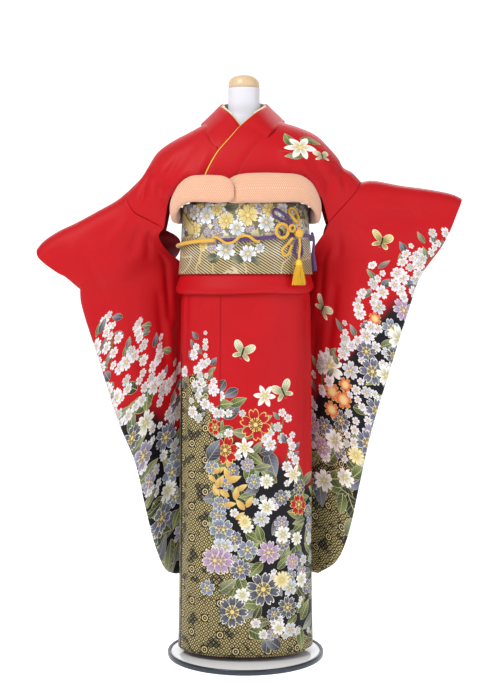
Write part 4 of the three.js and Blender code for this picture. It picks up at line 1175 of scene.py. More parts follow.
def skirt_motifs(rng):
    def keep(x, up):
        return 40 < up < edge_between(x, SKIRT_EDGE) - 30

    lattice_edge = [(40, 70), (120, 10), (200, -60), (400, -84), (600, -96), (760, -110)]

    def right_of_lattice(x, up):
        return keep(x, up) and x > edge_between(up, lattice_edge)

    sprays = sprays_at(rng, 11.5, (
        (-140, 700, 0.25, 150, 13), (-108, 690, 0.1, 120, 10), (-80, 640, -0.3, 110, 9),
        (76, 560, 0.3, 90, 6), (-128, 620, 0.1, 90, 8), (100, 500, 0.2, 90, 8)))
    large = named(
        ("red lily", [(26, 612, 42, 10), (-50, 548, 38, 40), (134, 408, 30, 20), (-78, 606, 22, 65)]),
        ("white lily", [(48, 690, 30, 25), (72, 506, 34, 50), (-2, 556, 27, 5), (122, 486, 28, 30)]),
        ("lilac peony", [(-76, 268, 37, 12), (60, 290, 31, 50), (118, 262, 22, 5)]),
        ("slate bloom", [(44, 196, 45, 8), (-32, 142, 42, 22), (108, 150, 30, 30)]),
        ("plum bloom", [(-56, 352, 29, 10), (6, 300, 27, 30)]), ("grey bloom", [(-14, 246, 28, 6)]),
        ("white bloom", [(96, 334, 24, 20), (142, 210, 22, 9), (130, 322, 19, 40)]),
        ("cream bloom", [(92, 222, 24, 0)]), ("white bloom", [(84, 96, 19, 15)]),
        ("plum bloom", [(-96, 196, 22, 50)]), ("cream bloom", [(-2, 372, 18, 10)]))
    amber = [("amber leaf", x, up, size, turn) for x, up, size, turn in (
        (-64, 474, 20, 60), (-48, 496, 18, 110), (-30, 476, 20, 20), (-54, 446, 18, 150),
        (-22, 442, 18, 80), (-6, 456, 16, 30), (-14, 412, 18, 130), (8, 420, 17, 60), (-36, 416, 16, 10),
        (-78, 450, 15, 100), (-70, 500, 15, 30), (-40, 520, 15, 80), (-12, 388, 15, 40),
        (-84, 478, 14, 140))]
    blades = named(
        ("teal leaf", [(20, 470, 66, 70), (44, 440, 60, 110), (66, 420, 60, 60), (-20, 520, 50, 40)]),
        ("stem", [(92, 560, 80, 75)]), ("teal leaf", [(96, 430, 44, 130)]))
    wings = [("cream wing", -6, 796, 38, -18), ("cream wing", 96, 694, 38, 24)]
    leaves, small, mixed = filled_in(rng, right_of_lattice, large + amber,
                                     ((-86, 168, 60, 520), 30, (16, 25)),
                                     ((-100, 172, 60, 690), 30, (8, 15)),
                                     ((-108, 176, 50, 710), 230, (20, 36)))
    return leaves + blades + small + mixed + amber + large + sprays + wings


def sleeve_motifs(rng, which, face):
    edge = SLEEVE_EDGE[which]

    def keep(x, up):
        floor = 215 if which == "right" else np.interp(x, [150, 260, 320], [430, 380, 250])
        return floor < up < edge_between(x, edge) - 12

    if which == "right":
        sprays = sprays_at(rng, 13, (
            (-392, 740, 0.3, 150, 13), (-340, 760, -0.1, 110, 10), (-300, 740, 0.2, 130, 12),
            (-250, 700, 0.3, 130, 11), (-210, 640, 0.2, 130, 10), (-360, 660, -0.3, 110, 9),
            (-180, 600, 0.1, 110, 9)))
        large = named(
            ("grey bloom", [(-212, 566, 34, 8)]), ("plum bloom", [(-196, 470, 31, 20)]),
            ("grey bloom", [(-222, 352, 34, 30)]),
            ("white bloom", [(-264, 610, 28, 12), (-186, 640, 24, 30), (-206, 420, 26, 4)]),
            ("violet bloom", [(-270, 520, 30, 10)]), ("grey bloom", [(-150, 420, 30, 14)]),
            ("slate bloom", [(-296, 570, 26, 14)]))
        leaves, small, mixed = filled_in(rng, keep, large, ((-400, -60, 240, 640), 20, (20, 28)),
                                         ((-420, -60, 420, 800), 105, (9, 16)),
                                         ((-430, -60, 230, 800), 260, (24, 44)))
        return leaves + small + mixed + large + sprays
    sprays = sprays_at(rng, 14, (
        (440, 980, 0.3, 120, 11), (400, 930, 0.2, 140, 12), (350, 900, -0.1, 130, 11),
        (300, 830, 0.0, 130, 11), (256, 760, 0.1, 110, 9), (200, 690, 0.1, 110, 9),
        (470, 1010, 0.4, 90, 8)))
    large = named(
        ("cream bloom", [(352, 896, 48, 10)]),
        ("orange bloom", [(336, 880, 17, 5), (368, 902, 18, 25), (350, 926, 16, 40), (228, 690, 25, 20),
            (256, 664, 25, 45), (226, 642, 23, 10), (262, 706, 20, 30)]),
        ("white bloom", [(222, 752, 42, 7)]), ("cream bloom", [(232, 790, 30, 12)]),
        ("white bloom", [(402, 824, 33, 16)]), ("grey bloom", [(330, 744, 36, 9), (348, 640, 33, 12)]),
        ("white bloom", [(366, 734, 28, 35)]), ("grey bloom", [(318, 560, 34, 25)]),
        ("slate bloom", [(396, 780, 24, 10)]),
        ("white bloom", [(238, 560, 30, 18), (208, 446, 30, 8), (262, 462, 26, 28)]),
        ("lilac peony", [(206, 540, 26, 10), (410, 900, 30, 10), (176, 600, 26, 40)]),
        ("cream bloom", [(288, 520, 24, 4)]))
    wings = [("gold wing", 352, 1076, 37, -6), ("cream wing", 204, 905, 33, -24)]
    extra = wings if face < 0 else []
    leaves, small, mixed = filled_in(rng, keep, large, ((60, 440, 400, 930), 26, (20, 30)),
                                     ((60, 480, 500, 1070), 110, (10, 17)),
                                     ((60, 490, 250, 1060), 300, (24, 44)))
    return leaves + small + mixed + large + sprays + extra


def skirt_zone(u, v):
    lattice_edge = np.interp(v, [31, 90, 130, 200, 400, 600, 760], [250, 120, 40, -26, -60, -84, -104])
    lattice_top = 742 + 0.35 * (u + 150)
    front = smooth((lattice_edge - u) / 50 + 0.5) * smooth((lattice_top - v) / 110 + 0.5)
    behind = smooth((np.abs(u) - 206) / 48)
    # Painted shadow: on the under front, a strip 16 mm wide beside the outer front's edge is darkened to
    # black, fading out between 740 and 860 mm up, with no lattice on it.
    edge = around(-70.2)
    under = (u < edge) & (u > edge - 16)
    top = np.interp(u, [-480, -330, -232, -150, -60, 20, 90, 160, 232, 330, 480],
                    [520, 600, 740, 730, 640, 600, 560, 500, 480, 480, 520])
    dark = np.where(under, smooth((860 - v) / 120), smooth((top - v) / 170 + 0.3))
    low = smooth((300 - v) / 120 + 0.5)
    return dark, np.where(under, 0, mix(front, low, behind))


def sleeve_zone(which):
    edge = SLEEVE_EDGE[which]

    def zone(u, v):
        height = np.where(v > FOLD_FLAT, 2 * FOLD_FLAT - v, v)
        x = SIDES[which] * u
        top = edge_between(x, edge)
        dark = smooth((top - 95 - height) / 190 + 0.3)
        if which == "right":
            return dark, 0 * dark
        inner = smooth((np.interp(height, [200, 350, 560, 700], [292, 326, 370, 400]) - u) / 40 + 0.5)
        return dark, smooth((545 - height) / 90 + 0.3) * inner
    return zone


def even_zone(dark, gold):
    return lambda u, v: (0 * u + dark, 0 * v + gold)


# ---- Pieces of cloth ---------------------------------------------------------------------------

rng = random.Random(26)
skirt_front = skirt_motifs(rng)


def back_skirt_motifs(rng):
    def keep(_, up):
        return 40 < up < 470

    found = scatter(rng, (-174, 174, 50, 450), 120, (20, 34), LEAVES, keep, (), 0.42)
    found += scatter(rng, (-174, 174, 70, 440), 90, (12, 26), WHITE_SMALL + MIXED, keep, (), 0.62)
    return found + sprays_at(rng, 12, ((-130, 380, 0.1, 130, 10), (-40, 400, -0.1, 120, 10),
                                       (50, 380, 0.2, 140, 10), (130, 400, 0.0, 120, 10)))


skirt_back = back_skirt_motifs(rng)
for name, start, end, hem, inset, slot in (
        ("skirt_back_right", -180, -90, HEM_UP, None, "silk_printed"),
        ("skirt_back_left", 90, 180, HEM_UP, None, "silk_printed"),
        ("skirt_front_right", -90, 10, UNDER_HEM_UP, under_inset, "silk_red"),
        ("overlap_right", 10, 60, UNDER_HEM_UP, under_inset, "silk_red"),
        ("skirt_front_left", -20, 90, HEM_UP, None, "silk_printed"),
        ("overlap_left", -70, -20, HEM_UP, None, "silk_printed")):
    net = skirt_net(start, end, hem, inset)
    panel = cloth(f"{name}_cloth", net, CLOTH)
    paint(panel, placed(net, skirt_front) + placed(net, skirt_back, 1), skirt_zone)
    hand_over_sheet(panel, SILK_PAINTED, name)

for which in ("right", "left"):
    net = sleeve(which)
    piece = cloth(f"sleeve_{which}_cloth", net, CLOTH)
    front = placed(net, sleeve_motifs(rng, which, -1))
    behind = placed(net, sleeve_motifs(rng, which, 1), 1)
    paint(piece, front + behind, sleeve_zone(which))
    hand_over_sheet(piece, SLEEVE_SILK, f"sleeve_{which}")

    net = upper_body(which)
    piece = cloth(f"body_{which}_cloth", net, CLOTH)
    shoulder = [] if which == "right" else named(
        ("green leaf", [(108, 1330, 26, 140), (164, 1330, 26, 40)]), ("sage leaf", [(120, 1286, 24, 220)]),
        ("stem", [(170, 1300, 30, 20)]),
        ("fine line", [(176, 1316, 30, 35), (180, 1290, 28, -10), (150, 1350, 34, 120),
                       (108, 1300, 34, 200)]),
        ("white lily", [(138, 1312, 40, 10)]), ("cream wing", [(194, 1290, 28, 60)]))
    paint(piece, placed(net, shoulder), even_zone(0, 0))
    hand_over_sheet(piece, SILK_PAINTED, f"body_{which}")

turns = np.linspace(-180, 180, 181)
profile = outline(TUCK)(np.linspace(0, 1, 34))
lift_right = 15 * smooth((turns[None] - 52) / 38) * smooth((130 - turns[None]) / 40)
fold_share = np.clip((1012 - profile[:, 0][:, None]) / 68, 0, 1)
uneven = (1.6 * np.sin(np.radians(turns * 3 + 20)) + 1.0 * np.sin(np.radians(turns * 7)))[None]
tuck_up = profile[:, 0][:, None] + fold_share * (lift_right + uneven * 0.9)
tuck_out = profile[:, 1][:, None] + fold_share * np.where(profile[:, 1][:, None] > 6, 0.6 * uneven, 0)
grid = on_oval(SKIRT, tuck_up, turns[None], tuck_out)
length = distances(profile)
flat = stacked(around(turns)[None], 1000 - length[:, None])
net = Net([(grid, flat)], (0, 0, 960))
piece = cloth("waist_tuck_cloth", net, CLOTH)
hand_over_sheet(piece, SILK_PLAIN, "waist_tuck")

# ---- Obi ---------------------------------------------------------------------------------------

turns = np.linspace(-180, 180, 241)
levels = np.linspace(OBI_LOW, OBI_HIGH, 40)[:, None]
length = np.broadcast_to(around(turns)[None], (40, 241))
OBI_CREASES = [(-150, 1010, -60, 1150, 22, -1.2), (120, 1010, 40, 1120, 26, 1.0),
               (-40, 1000, 30, 1060, 18, -0.8), (230, 1010, 250, 1160, 18, -1.4),
               (-230, 1010, -250, 1160, 18, -1.4), (-480, 1083, 480, 1083, 9, -1.0)]
press = crease_at(OBI_CREASES, length, levels)
grid = on_oval(OBI_INSIDE, np.broadcast_to(levels, length.shape), turns[None], press)
net = Net([(grid, stacked(length, levels))], (0, 0, 1080))
band = cloth("obi_band_cloth", net, OBI_WALL)


def obi_motifs(rng):
    def keep(_, up):
        return up > 1092

    blossoms = ["pale bloom", "gold bloom", "pale bloom", "violet bloom"]
    found = scatter(rng, (-150, 150, 1090, 1168), 30, (12, 22), ["ink leaf", "ink leaf", "grey leaf"], keep)
    found += scatter(rng, (-156, 156, 1090, 1168), 44, (11, 20), blossoms, keep, (), 0.72)
    found += named(
        ("gold bloom", [(6, 1140, 31, 10), (-48, 1126, 25, 30)]),
        ("pale bloom", [(52, 1124, 27, 5), (-94, 1140, 26, 22)]), ("violet bloom", [(40, 1158, 20, 12)]),
        ("gold bloom", [(60, 1154, 22, 40)]),
        ("pale bloom", [(-20, 1108, 24, 16), (-50, 1052, 29, 8), (4, 1046, 25, 25), (36, 1060, 15, 40)]),
        ("gold bloom", [(-104, 1064, 15, 12)]), ("ink leaf", [(-20, 1030, 18, 160), (-74, 1030, 15, 30)]),
        ("violet bloom", [(-82, 1062, 16, 8)]), ("ink leaf", [(-86, 1036, 16, 200), (26, 1028, 16, -40)]),
        ("violet bloom", [(100, 1130, 20, 0)]), ("gold bloom", [(-122, 1110, 20, 10)]),
        ("pale bloom", [(-126, 1148, 22, 0), (-142, 1118, 17, 30)]), ("gold bloom", [(-70, 1152, 18, 10)]),
        ("pale bloom", [(90, 1152, 22, 20), (132, 1120, 18, 5)]))
    return found


def obi_zone(_, v):
    return smooth((1105 - v) / 40), smooth((1070 - v) / 60)


paint(band, placed(net, obi_motifs(rng)) + placed(net, obi_motifs(rng), 1), obi_zone)
hand_over_sheet(band, BROCADE, "obi_band")

corner_edge = outline([(-160, 1150, 5), (-156, 1130, 13), (-149, 1110, 18), (-142, 1094, 12)])
corner_rows = corner_edge(np.linspace(0, 1, 16))
across = np.linspace(0, 1, 9)[None]
grid = on_obi(corner_rows[:, :1] + corner_rows[:, 2:] * across, corner_rows[:, 1:2], 0.9)
net = Net([(grid, np.stack([grid[..., 0], grid[..., 2]], -1))], (0, 0, 1100))
corner = cloth("obi_corner_cloth", net, 2)
paint(corner, [], even_zone(0, 1))
hand_over_sheet(corner, BROCADE, "obi_corner")


def bent_strip(profile, half, closed, count):
    line = outline(profile, closed)(np.linspace(0, 1, count))
    x = np.linspace(-half, half, 45)
    bow = 5 * (np.abs(x) / half) ** 2
    y = line[:, :1] + bow[None] * np.where(line[:, :1] > 150, -1, 0)
    soft = 1.6 * np.sin(x / 31)[None] * np.where(line[:, :1] > 190, 1, 0)
    grid = stacked(x[None], y + soft, line[:, 1:])
    down = distances(line)
    flat = stacked(x[None], DRUM_FLAT - down[:, None])
    if closed:
        grid, flat = np.concatenate([grid, grid[:1]]), np.concatenate([flat, flat[-1:] - (0, 1)])
    return Net([(grid, flat)], (0, 184, 1110) if closed else (0, 0, 960))


net = bent_strip(DRUM, DRUM_HALF, True, 110)
drum = cloth("obi_drum_cloth", net, 4, -2)
drum_face = [(kind, x * 0.9, up * 0.9 + 116, size * 1.1, turn)
             for kind, x, up, size, turn in obi_motifs(rng)]
paint(drum, placed(net, drum_face, 1), even_zone(0, 0.6))
hand_over_sheet(drum, BROCADE, "obi_drum")
net = bent_strip(TAIL, TAIL_HALF, False, 24)
tail = cloth("obi_tail_cloth", net, 4, -2)
paint(tail, [], even_zone(1, 1))
hand_over_sheet(tail, BROCADE, "obi_tail")


# ---- Collars -----------------------------------------------------------------------------------

def chest(x, up):
    right = np.maximum(shoulder_up("right", x) - up, 0)
    left = np.maximum(shoulder_up("left", x) - up, 0)
    return -fullness(np.abs(x), np.where(x < 0, right, left)) * drawn_in(x, up)


STATIONS = []
for at, (nx, ny, nz, sx, sy, sz, lift) in enumerate(COLLAR):
    on_chest = 1 if ny is None and sy is None else 0
    ny = float(chest(nx, nz)) if ny is None else ny
    sy = float(chest(sx, sz)) if sy is None else sy
    STATIONS.append((at, nx, ny, nz, sx, sy, sz, lift, on_chest))


def collar_net(past, under, first, last, columns):
    at = np.linspace(first, last, 12 * (last - first) + 1)
    neck = np.stack([along(STATIONS, at, k) for k in (1, 2, 3)], -1)
    across = np.stack([along(STATIONS, at, k) for k in (4, 5, 6)], -1) - neck
    lift, on_chest = along(STATIONS, at, 7), np.clip(along(STATIONS, at, 8), 0, 1)
    length = np.linalg.norm(across, axis=1)
    to = 1 - SEAM_MARGIN / length if under is None else under / length
    share = mix((-past / length)[:, None], to[:, None], np.linspace(0, 1, columns)[None])
    grid = neck[:, None] + across[:, None] * share[..., None]
    hollow = np.minimum(chest(grid[..., 0], grid[..., 2]) - grid[..., 1], 0) * on_chest[:, None]
    pressed = smooth((share - 0.72) / 0.28) * (np.maximum(lift, 0) + 2.2)[:, None] * (under is None)
    grid[..., 1] += hollow - lift[:, None] + pressed * on_chest[:, None]
    down = distances(neck)
    flat = stacked(share * length[:, None], down[:, None])
    return Net([(grid, flat)], (0, 0, 1330))


ENDS = (0, len(COLLAR) - 1)
for name, (past, under, first, last, columns), thick, lift, material, slot in (
        ("collar", (0, None, *ENDS, 12), COLLAR_WALL, CLOTH + 3 * AIR, SILK_PLAIN, "silk_red"),
        ("collar_accent", (3.5, 12, *ENDS, 4), STRIP_WALL, CLOTH - STRIP_WALL, YELLOW_SILK, "silk_yellow"),
        ("collar_inner", (7, 8, 3, 9, 4), STRIP_WALL, -CLOTH - AIR, WHITE_CREPE, "silk_white")):
    net = collar_net(past, under, first, last, columns)
    strip = cloth(f"{name}_cloth", net, thick, lift)
    wide = 0.07 if under is None else float(past + under) / 1000
    hand_over_sheet(strip, material, name)


# ---- Round and tubular pieces ------------------------------------------------------------------

def loft_mesh(name, rings, closed=False):
    """A mesh through rings of points, with flat coordinates along and round it."""
    rings = np.asarray(rings, float)
    n, m = rings.shape[:2]
    ids = np.arange(n * m).reshape(n, m)
    span = n if closed else n - 1
    quads, corners = [], []
    down = distances(rings.mean(1))
    down = np.r_[down, down[-1] + (down[-1] / max(n - 1, 1))]
    girth = float(np.linalg.norm(np.diff(rings, axis=1), axis=2).sum(1).mean()) * m / (m - 1)
    for i in range(span):
        for j in range(m):
            k = (j + 1) % m
            quads.append((ids[i, j], ids[i, k], ids[(i + 1) % n, k], ids[(i + 1) % n, j]))
            a, b = j / m * girth, (j + 1) / m * girth
            corners += [(down[i], a), (down[i], b), (down[i + 1], b), (down[i + 1], a)]
    if not closed:
        for ring, order in ((ids[0], -1), (ids[-1], 1)):
            quads.append(tuple(ring[::order]))
            corners += [(0, 0)] * m
    turn = np.cross(rings[0, 1] - rings[0, 0], rings[1, 0] - rings[0, 0])
    outward = rings[0, 0] - rings[0].mean(0)
    if turn @ outward < 0:
        starts = np.cumsum([0] + [len(q) for q in quads])
        corners = [corners[v] for s, q in zip(starts, quads) for v in range(s + len(q) - 1, s - 1, -1)]
        quads = [q[::-1] for q in quads]
    item = make_mesh(name, rings.reshape(-1, 3), quads)
    layer = item.data.uv_layers.new(name="flat")
    layer.data.foreach_set("uv", (np.array(corners, float) / 1000).ravel())
    return item


def tube(name, route, radius, closed, braid):
    """A round cord along a route, with the ridges of its braid."""
    line = outline(route, closed)
    count = max(int(line.length / CORD_STEP), 6)
    shares = np.linspace(0, 1, count + 1)[: count if closed else count + 1]
    middle = line(shares)
    tangent = line(np.minimum(shares + 0.004, 1)) - line(np.maximum(shares - 0.004, 0))
    tangent /= np.linalg.norm(tangent, axis=1, keepdims=True)
    normal = np.cross(tangent[0], (0.0, 0.3, 1.0))
    rings = []
    theta = round_angles(CORD_SIDES)
    for k in range(len(middle)):
        normal = normal - tangent[k] * (normal @ tangent[k])
        normal = normal / np.linalg.norm(normal)
        other = np.cross(tangent[k], normal)
        size = radius(shares[k]) if callable(radius) else radius
        wave = 1 + braid * np.cos(4 * theta + shares[k] * line.length * 0.42)
        rings.append(middle[k] + (normal * np.cos(theta)[:, None] + other * np.sin(theta)[:, None])
                     * (size * wave)[:, None])
    return loft_mesh(name, np.array(rings), closed)


def scarf_rings(table, seed):
    """Rounded sections along the scarf's middle line, with small creases across it."""
    line = outline([row[:3] for row in table])
    full = outline(table)
    shares = np.linspace(0, 1, SCARF_ROWS)
    rows = full(shares)
    ahead, behind = full(np.minimum(shares + 0.01, 1)), full(np.maximum(shares - 0.01, 0))
    tangent = (ahead - behind)[:, :2]
    tangent /= np.linalg.norm(tangent, axis=1, keepdims=True)
    theta = round_angles(SCARF_SIDES)
    c, s = (np.sign(part) * np.abs(part) ** SCARF_SQUARE for part in (np.cos(theta), np.sin(theta)))
    long = shares * line.length
    wave = np.zeros((len(shares), len(theta)))
    rng = random.Random(seed)
    for _ in range(22):
        at, round_at = rng.uniform(10, line.length - 10), rng.uniform(0, 2 * np.pi)
        lean, wide, high = rng.uniform(-22, 22), rng.uniform(5, 13), rng.uniform(-1.5, 1.1)
        around_here = np.angle(np.exp(1j * (theta - round_at)))
        shift = long[:, None] - at - lean * around_here[None]
        wave += high * np.exp(-((shift / wide) ** 2)) * np.exp(-((around_here[None] / 0.9) ** 2))
    off = c[None] * (rows[:, 4:5] + wave)
    rise = s[None] * (rows[:, 3:4] + wave * 0.6)
    return np.stack([rows[:, :1] + tangent[:, 1:] * off, rows[:, 1:2] - tangent[:, :1] * off,
                     rows[:, 2:3] + rise], -1)


for which in ("right", "left"):
    piece = loft_mesh(f"obiage_{which}_cloth", scarf_rings(SCARF[which], 5 if which == "right" else 8))
    hand_over(piece, SCARF_SILK, f"obiage_{which}")


# ---- Cord --------------------------------------------------------------------------------------

def cord_piece(name, route, thick, colour, closed=False, braid=0.06):
    """A cord handed over in its colour of braid."""
    hand_over(tube(f"{name}_cord", route, thick, closed, braid), BRAIDS[colour][0], name)


OBI_FACE = [(up, wide + OBI_WALL, deep + OBI_WALL) for up, wide, deep in OBI_INSIDE]
turns = np.linspace(-180, 170, 36)
route = on_oval(OBI_FACE, along(CORD_UP, turns), turns, CORD_RADIUS + AIR + 0.4)
cord_piece("obijime_round", route, CORD_RADIUS, "both", True)

shares = np.linspace(0, 1, 19)
x = mix(-80, 36, shares)
swing = math.radians(70) * np.cos(shares * TWIST_TURNS * 2 * math.pi)
up = along(CORD_UP, np.degrees(np.arcsin(x / OBI_ROUND))) + TWIST * np.sin(swing)
route = on_obi(x, up, CORD_RADIUS + AIR + 0.8 + TWIST * np.cos(swing))
cord_piece("obijime_twist", route, CORD_THIN, "yellow")

LOOPS = {
    "obijime_loop_up_a": ("purple", [
        (125, 1108, 18), (112, 1128, 8), (92, 1148, 2.8), (74, 1156, 2.8), (68, 1145, 2.8), (84, 1132, 2.8),
        (102, 1122, 5), (115, 1112, 11)]),
    "obijime_loop_up_b": ("yellow", [
        (135, 1112, 20), (134, 1134, 9), (124, 1156, 2.8), (113, 1160, 2.8), (109, 1150, 2.8),
        (117, 1137, 9), (129, 1121, 15)]),
    "obijime_loop_low_a": ("purple", [
        (129, 1081, 16), (125, 1062, 8), (127, 1042, 2.8), (137, 1036, 2.8), (144, 1048, 2.8),
        (141, 1066, 8), (139, 1078, 12.4)]),
    "obijime_loop_low_b": ("yellow", [
        (119, 1084, 17), (104, 1068, 8), (92, 1054, 2.8), (97, 1040, 2.8), (108, 1044, 2.8), (112, 1056, 4),
        (117, 1068, 9)]),
}
for name, (colour, table) in LOOPS.items():
    cord_piece(name, [on_obi(x, up, off + 1) for x, up, off in table], CORD_THIN, colour)

for number, x, up, off, radius, thick in ((1, 92, 1101, 15.4, 17, 4), (2, 117, 1108, 23.2, 8, 2.6)):
    turn = round_angles(14)
    lean = math.atan2(x * 0.9, OBI_ROUND)
    ring = np.stack([np.cos(turn) * radius * math.cos(lean), np.cos(turn) * radius * math.sin(lean),
                     np.sin(turn) * radius], -1) + on_obi(x, up, off)
    cord_piece(f"obijime_ring_{number}", ring, thick, "yellow", True, 0.1)


def ball_rings(middle, radius, flatten):
    """A wound knot: a ball with the turns of the cord round it."""
    rings = []
    count, sides = 28, 36
    theta = round_angles(sides)
    for k in range(count + 1):
        lat = math.pi * (0.02 + 0.96 * k / count) - math.pi / 2
        wave = 1 + 0.05 * np.cos(7 * lat + 3 * theta)
        rings.append(np.stack([middle[0] + radius * math.cos(lat) * np.cos(theta) * wave,
                               middle[1] + radius * flatten * math.cos(lat) * np.sin(theta) * wave,
                               np.full(sides, middle[2] + radius * math.sin(lat))], -1))
    return rings


knot = loft_mesh("obijime_knot_cord", ball_rings(on_obi(134, 1096, 21.6), 12, 0.85))
hand_over(knot, BRAIDS["yellow"][0], "obijime_knot")
route = [on_obi(x, up, off) for x, up, off in ((135, 1084.1, 22.2), (137, 1066, 21), (135, 1046, 20.6),
                                               (134, 1031.2, 21))]
cord_piece("obijime_hanger", route, 3, "yellow")
route = [on_oval(OBI_FACE, up, turn, off) for turn, up, off in (
    (64, 1098, 19), (69, 1090, 16), (75, 1074, 12), (80, 1054, 6.4), (83, 1032, 5.2), (85, 1004, 6.2))]
cord_piece("obijime_end", route, lambda share: CORD_THIN + 2.4 * float(smooth((share - 0.55) / 0.3)),
           "purple")


def strand_tree():
    """Strands that leave a wound head and spread as they fall, joined to the head's mesh."""
    floats = dict.fromkeys(("Fall", "Root", "Spread", "Depth", "Thickness"), "Float")
    inputs = {"Geometry": "Geometry", "Strands": "Int", "Seed": "Int", **floats,
              "Head": "Vector", "Lean": "Vector", "Silk": "Material"}
    tree, start, end = new_group("tassel strands", inputs, {"Geometry": "Geometry"}, "GeometryNodeTree")

    def node(kind, geometry=None, **values):
        made = tree.nodes.new(kind)
        if geometry:
            tree.links.new(geometry, made.inputs[0])
        for name, value in values.items():
            put(tree, made.inputs[name.replace("_", " ")], value)
        return made

    drawn = node("GeometryNodePoints", Count=start.outputs["Strands"]).outputs[0]
    for number, (label, low, high) in enumerate((("turn", 0.0, 2 * math.pi), ("ring", 0.02, 1.0),
                                                 ("kink", -0.0012, 0.0012), ("longer", 0.95, 1.03))):
        chance = node("FunctionNodeRandomValue", Seed=Value(tree, start.outputs["Seed"]) + float(number))
        for slot, value in ((2, low), (3, high)):
            chance.inputs[slot].default_value = value
        drawn = node("GeometryNodeStoreNamedAttribute", drawn, Name=label,
                     Value=chance.outputs[1]).outputs[0]
    line = node("GeometryNodeCurvePrimitiveLine", End=(0, 0, -1)).outputs[0]
    line = node("GeometryNodeResampleCurve", line, Count=7).outputs[0]
    strands = node("GeometryNodeInstanceOnPoints", drawn, Instance=line).outputs[0]
    strands = node("GeometryNodeRealizeInstances", strands).outputs[0]
    share = Value(tree, node("GeometryNodeSplineParameter").outputs["Factor"])
    turn, ring, kink, longer = (Value(tree, node("GeometryNodeInputNamedAttribute", Name=label).outputs[0])
                                for label in ("turn", "ring", "kink", "longer"))
    root, spread, depth, fall = (Value(tree, start.outputs[label])
                                 for label in ("Root", "Spread", "Depth", "Fall"))
    wide = root + (spread - root) * (share * 1.3).op("SINE") * (1 / math.sin(1.3))
    reach = ring.op("SQRT")
    place = tree.nodes.new("ShaderNodeCombineXYZ")
    for slot, value in enumerate((turn.op("COSINE") * reach * wide + kink * (share * 5.0).op("SINE"),
                                  turn.op("SINE") * reach * wide.op("MINIMUM", depth),
                                  share * fall * longer * -1.0)):
        put(tree, place.inputs[slot], value)
    strands = node("GeometryNodeSetPosition", strands, Position=place.outputs[0]).outputs[0]
    section = node("GeometryNodeCurvePrimitiveCircle", Resolution=3, Radius=start.outputs["Thickness"])
    strands = node("GeometryNodeCurveToMesh", strands, Profile_Curve=section.outputs[0],
                   Fill_Caps=True).outputs[0]
    strands = node("GeometryNodeTransform", strands, Translation=start.outputs["Head"],
                   Rotation=start.outputs["Lean"]).outputs[0]
    joined = tree.nodes.new("GeometryNodeJoinGeometry")
    for part in (strands, start.outputs["Geometry"]):
        tree.links.new(part, joined.inputs[0])
    silk_set = node("GeometryNodeSetMaterial", joined.outputs[0], Material=start.outputs["Silk"]).outputs[0]
    tree.links.new(silk_set, end.inputs[0])
    return tree


def grown(item, tree, name, **values):
    """The plain mesh that a node tree makes of an item, in a new object."""
    modifier = item.modifiers.new(tree.name, "NODES")
    modifier.node_group = tree
    sockets = {entry.name: entry.identifier for entry in tree.interface.items_tree
               if entry.in_out == "INPUT"}
    for label, value in values.items():
        modifier[sockets[label]] = value
    bpy.context.view_layer.update()
    mesh = bpy.data.meshes.new_from_object(item.evaluated_get(bpy.context.evaluated_depsgraph_get()))
    bpy.data.objects.remove(item)
    made = bpy.data.objects.new(name, mesh)
    bpy.context.scene.collection.objects.link(made)
    return made


head = on_obi(134, 1030, 21)
theta = round_angles(24)
rings = []
for share in np.linspace(0, 1, 22):
    size = 8.6 * (0.5 + 0.5 * math.sin(min(share * 1.9, 1.57))) * (1 + 0.07 * math.cos(share * 40))
    rings.append(np.stack([head[0] + size * np.cos(theta), head[1] + size * np.sin(theta),
                           np.full(24, head[2] - 15 * share)], -1))
bound = loft_mesh("tassel_head", rings)
root_place = [float(v) / 1000 for v in head - (0, 0, 12)]
tassel = grown(bound, strand_tree(), "obijime_tassel_strands", Strands=240, Seed=3, Fall=0.051, Root=0.006,
               Spread=0.022, Depth=0.0082, Thickness=0.0006, Head=root_place,
               Lean=(0.0, 0.0, math.atan2(head[0], OBI_ROUND)), Silk=TASSEL_SILK)
hand_over(tassel, TASSEL_SILK, "obijime_tassel")

# ---- Dress form and stand ----------------------------------------------------------------------

turns = np.linspace(-180, 180, 96, endpoint=False)
rows = np.array(FORM, float)
ups = np.r_[np.linspace(FORM_LOW, NECK_FOOT, 120), np.linspace(NECK_FOOT + 2, NECK_TOP, 40)]
rings = []
for up in ups:
    wide, deep = (np.interp(up, rows[:, 0], rows[:, k]) if up < NECK_FOOT else float(along(FORM, up, k))
                  for k in (1, 2))
    ring = on_oval([(up, wide, deep), (up + 1, wide, deep)], up, turns)
    ring[:, 0] += NECK_X * float(smooth((up - 1340) / 90))
    rings.append(ring)
hand_over(loft_mesh("dress_form_cover", rings), FORM_COVER, "dress_form")


def lathe_mesh(name, profile, count, shift=(0, 0, 0)):
    theta = round_angles(count)
    rings = [np.stack([shift[0] + max(r, 0.01) * np.cos(theta), shift[1] + max(r, 0.01) * np.sin(theta),
                       np.full(count, shift[2] + z)], -1) for r, z in profile]
    return loft_mesh(name, rings)


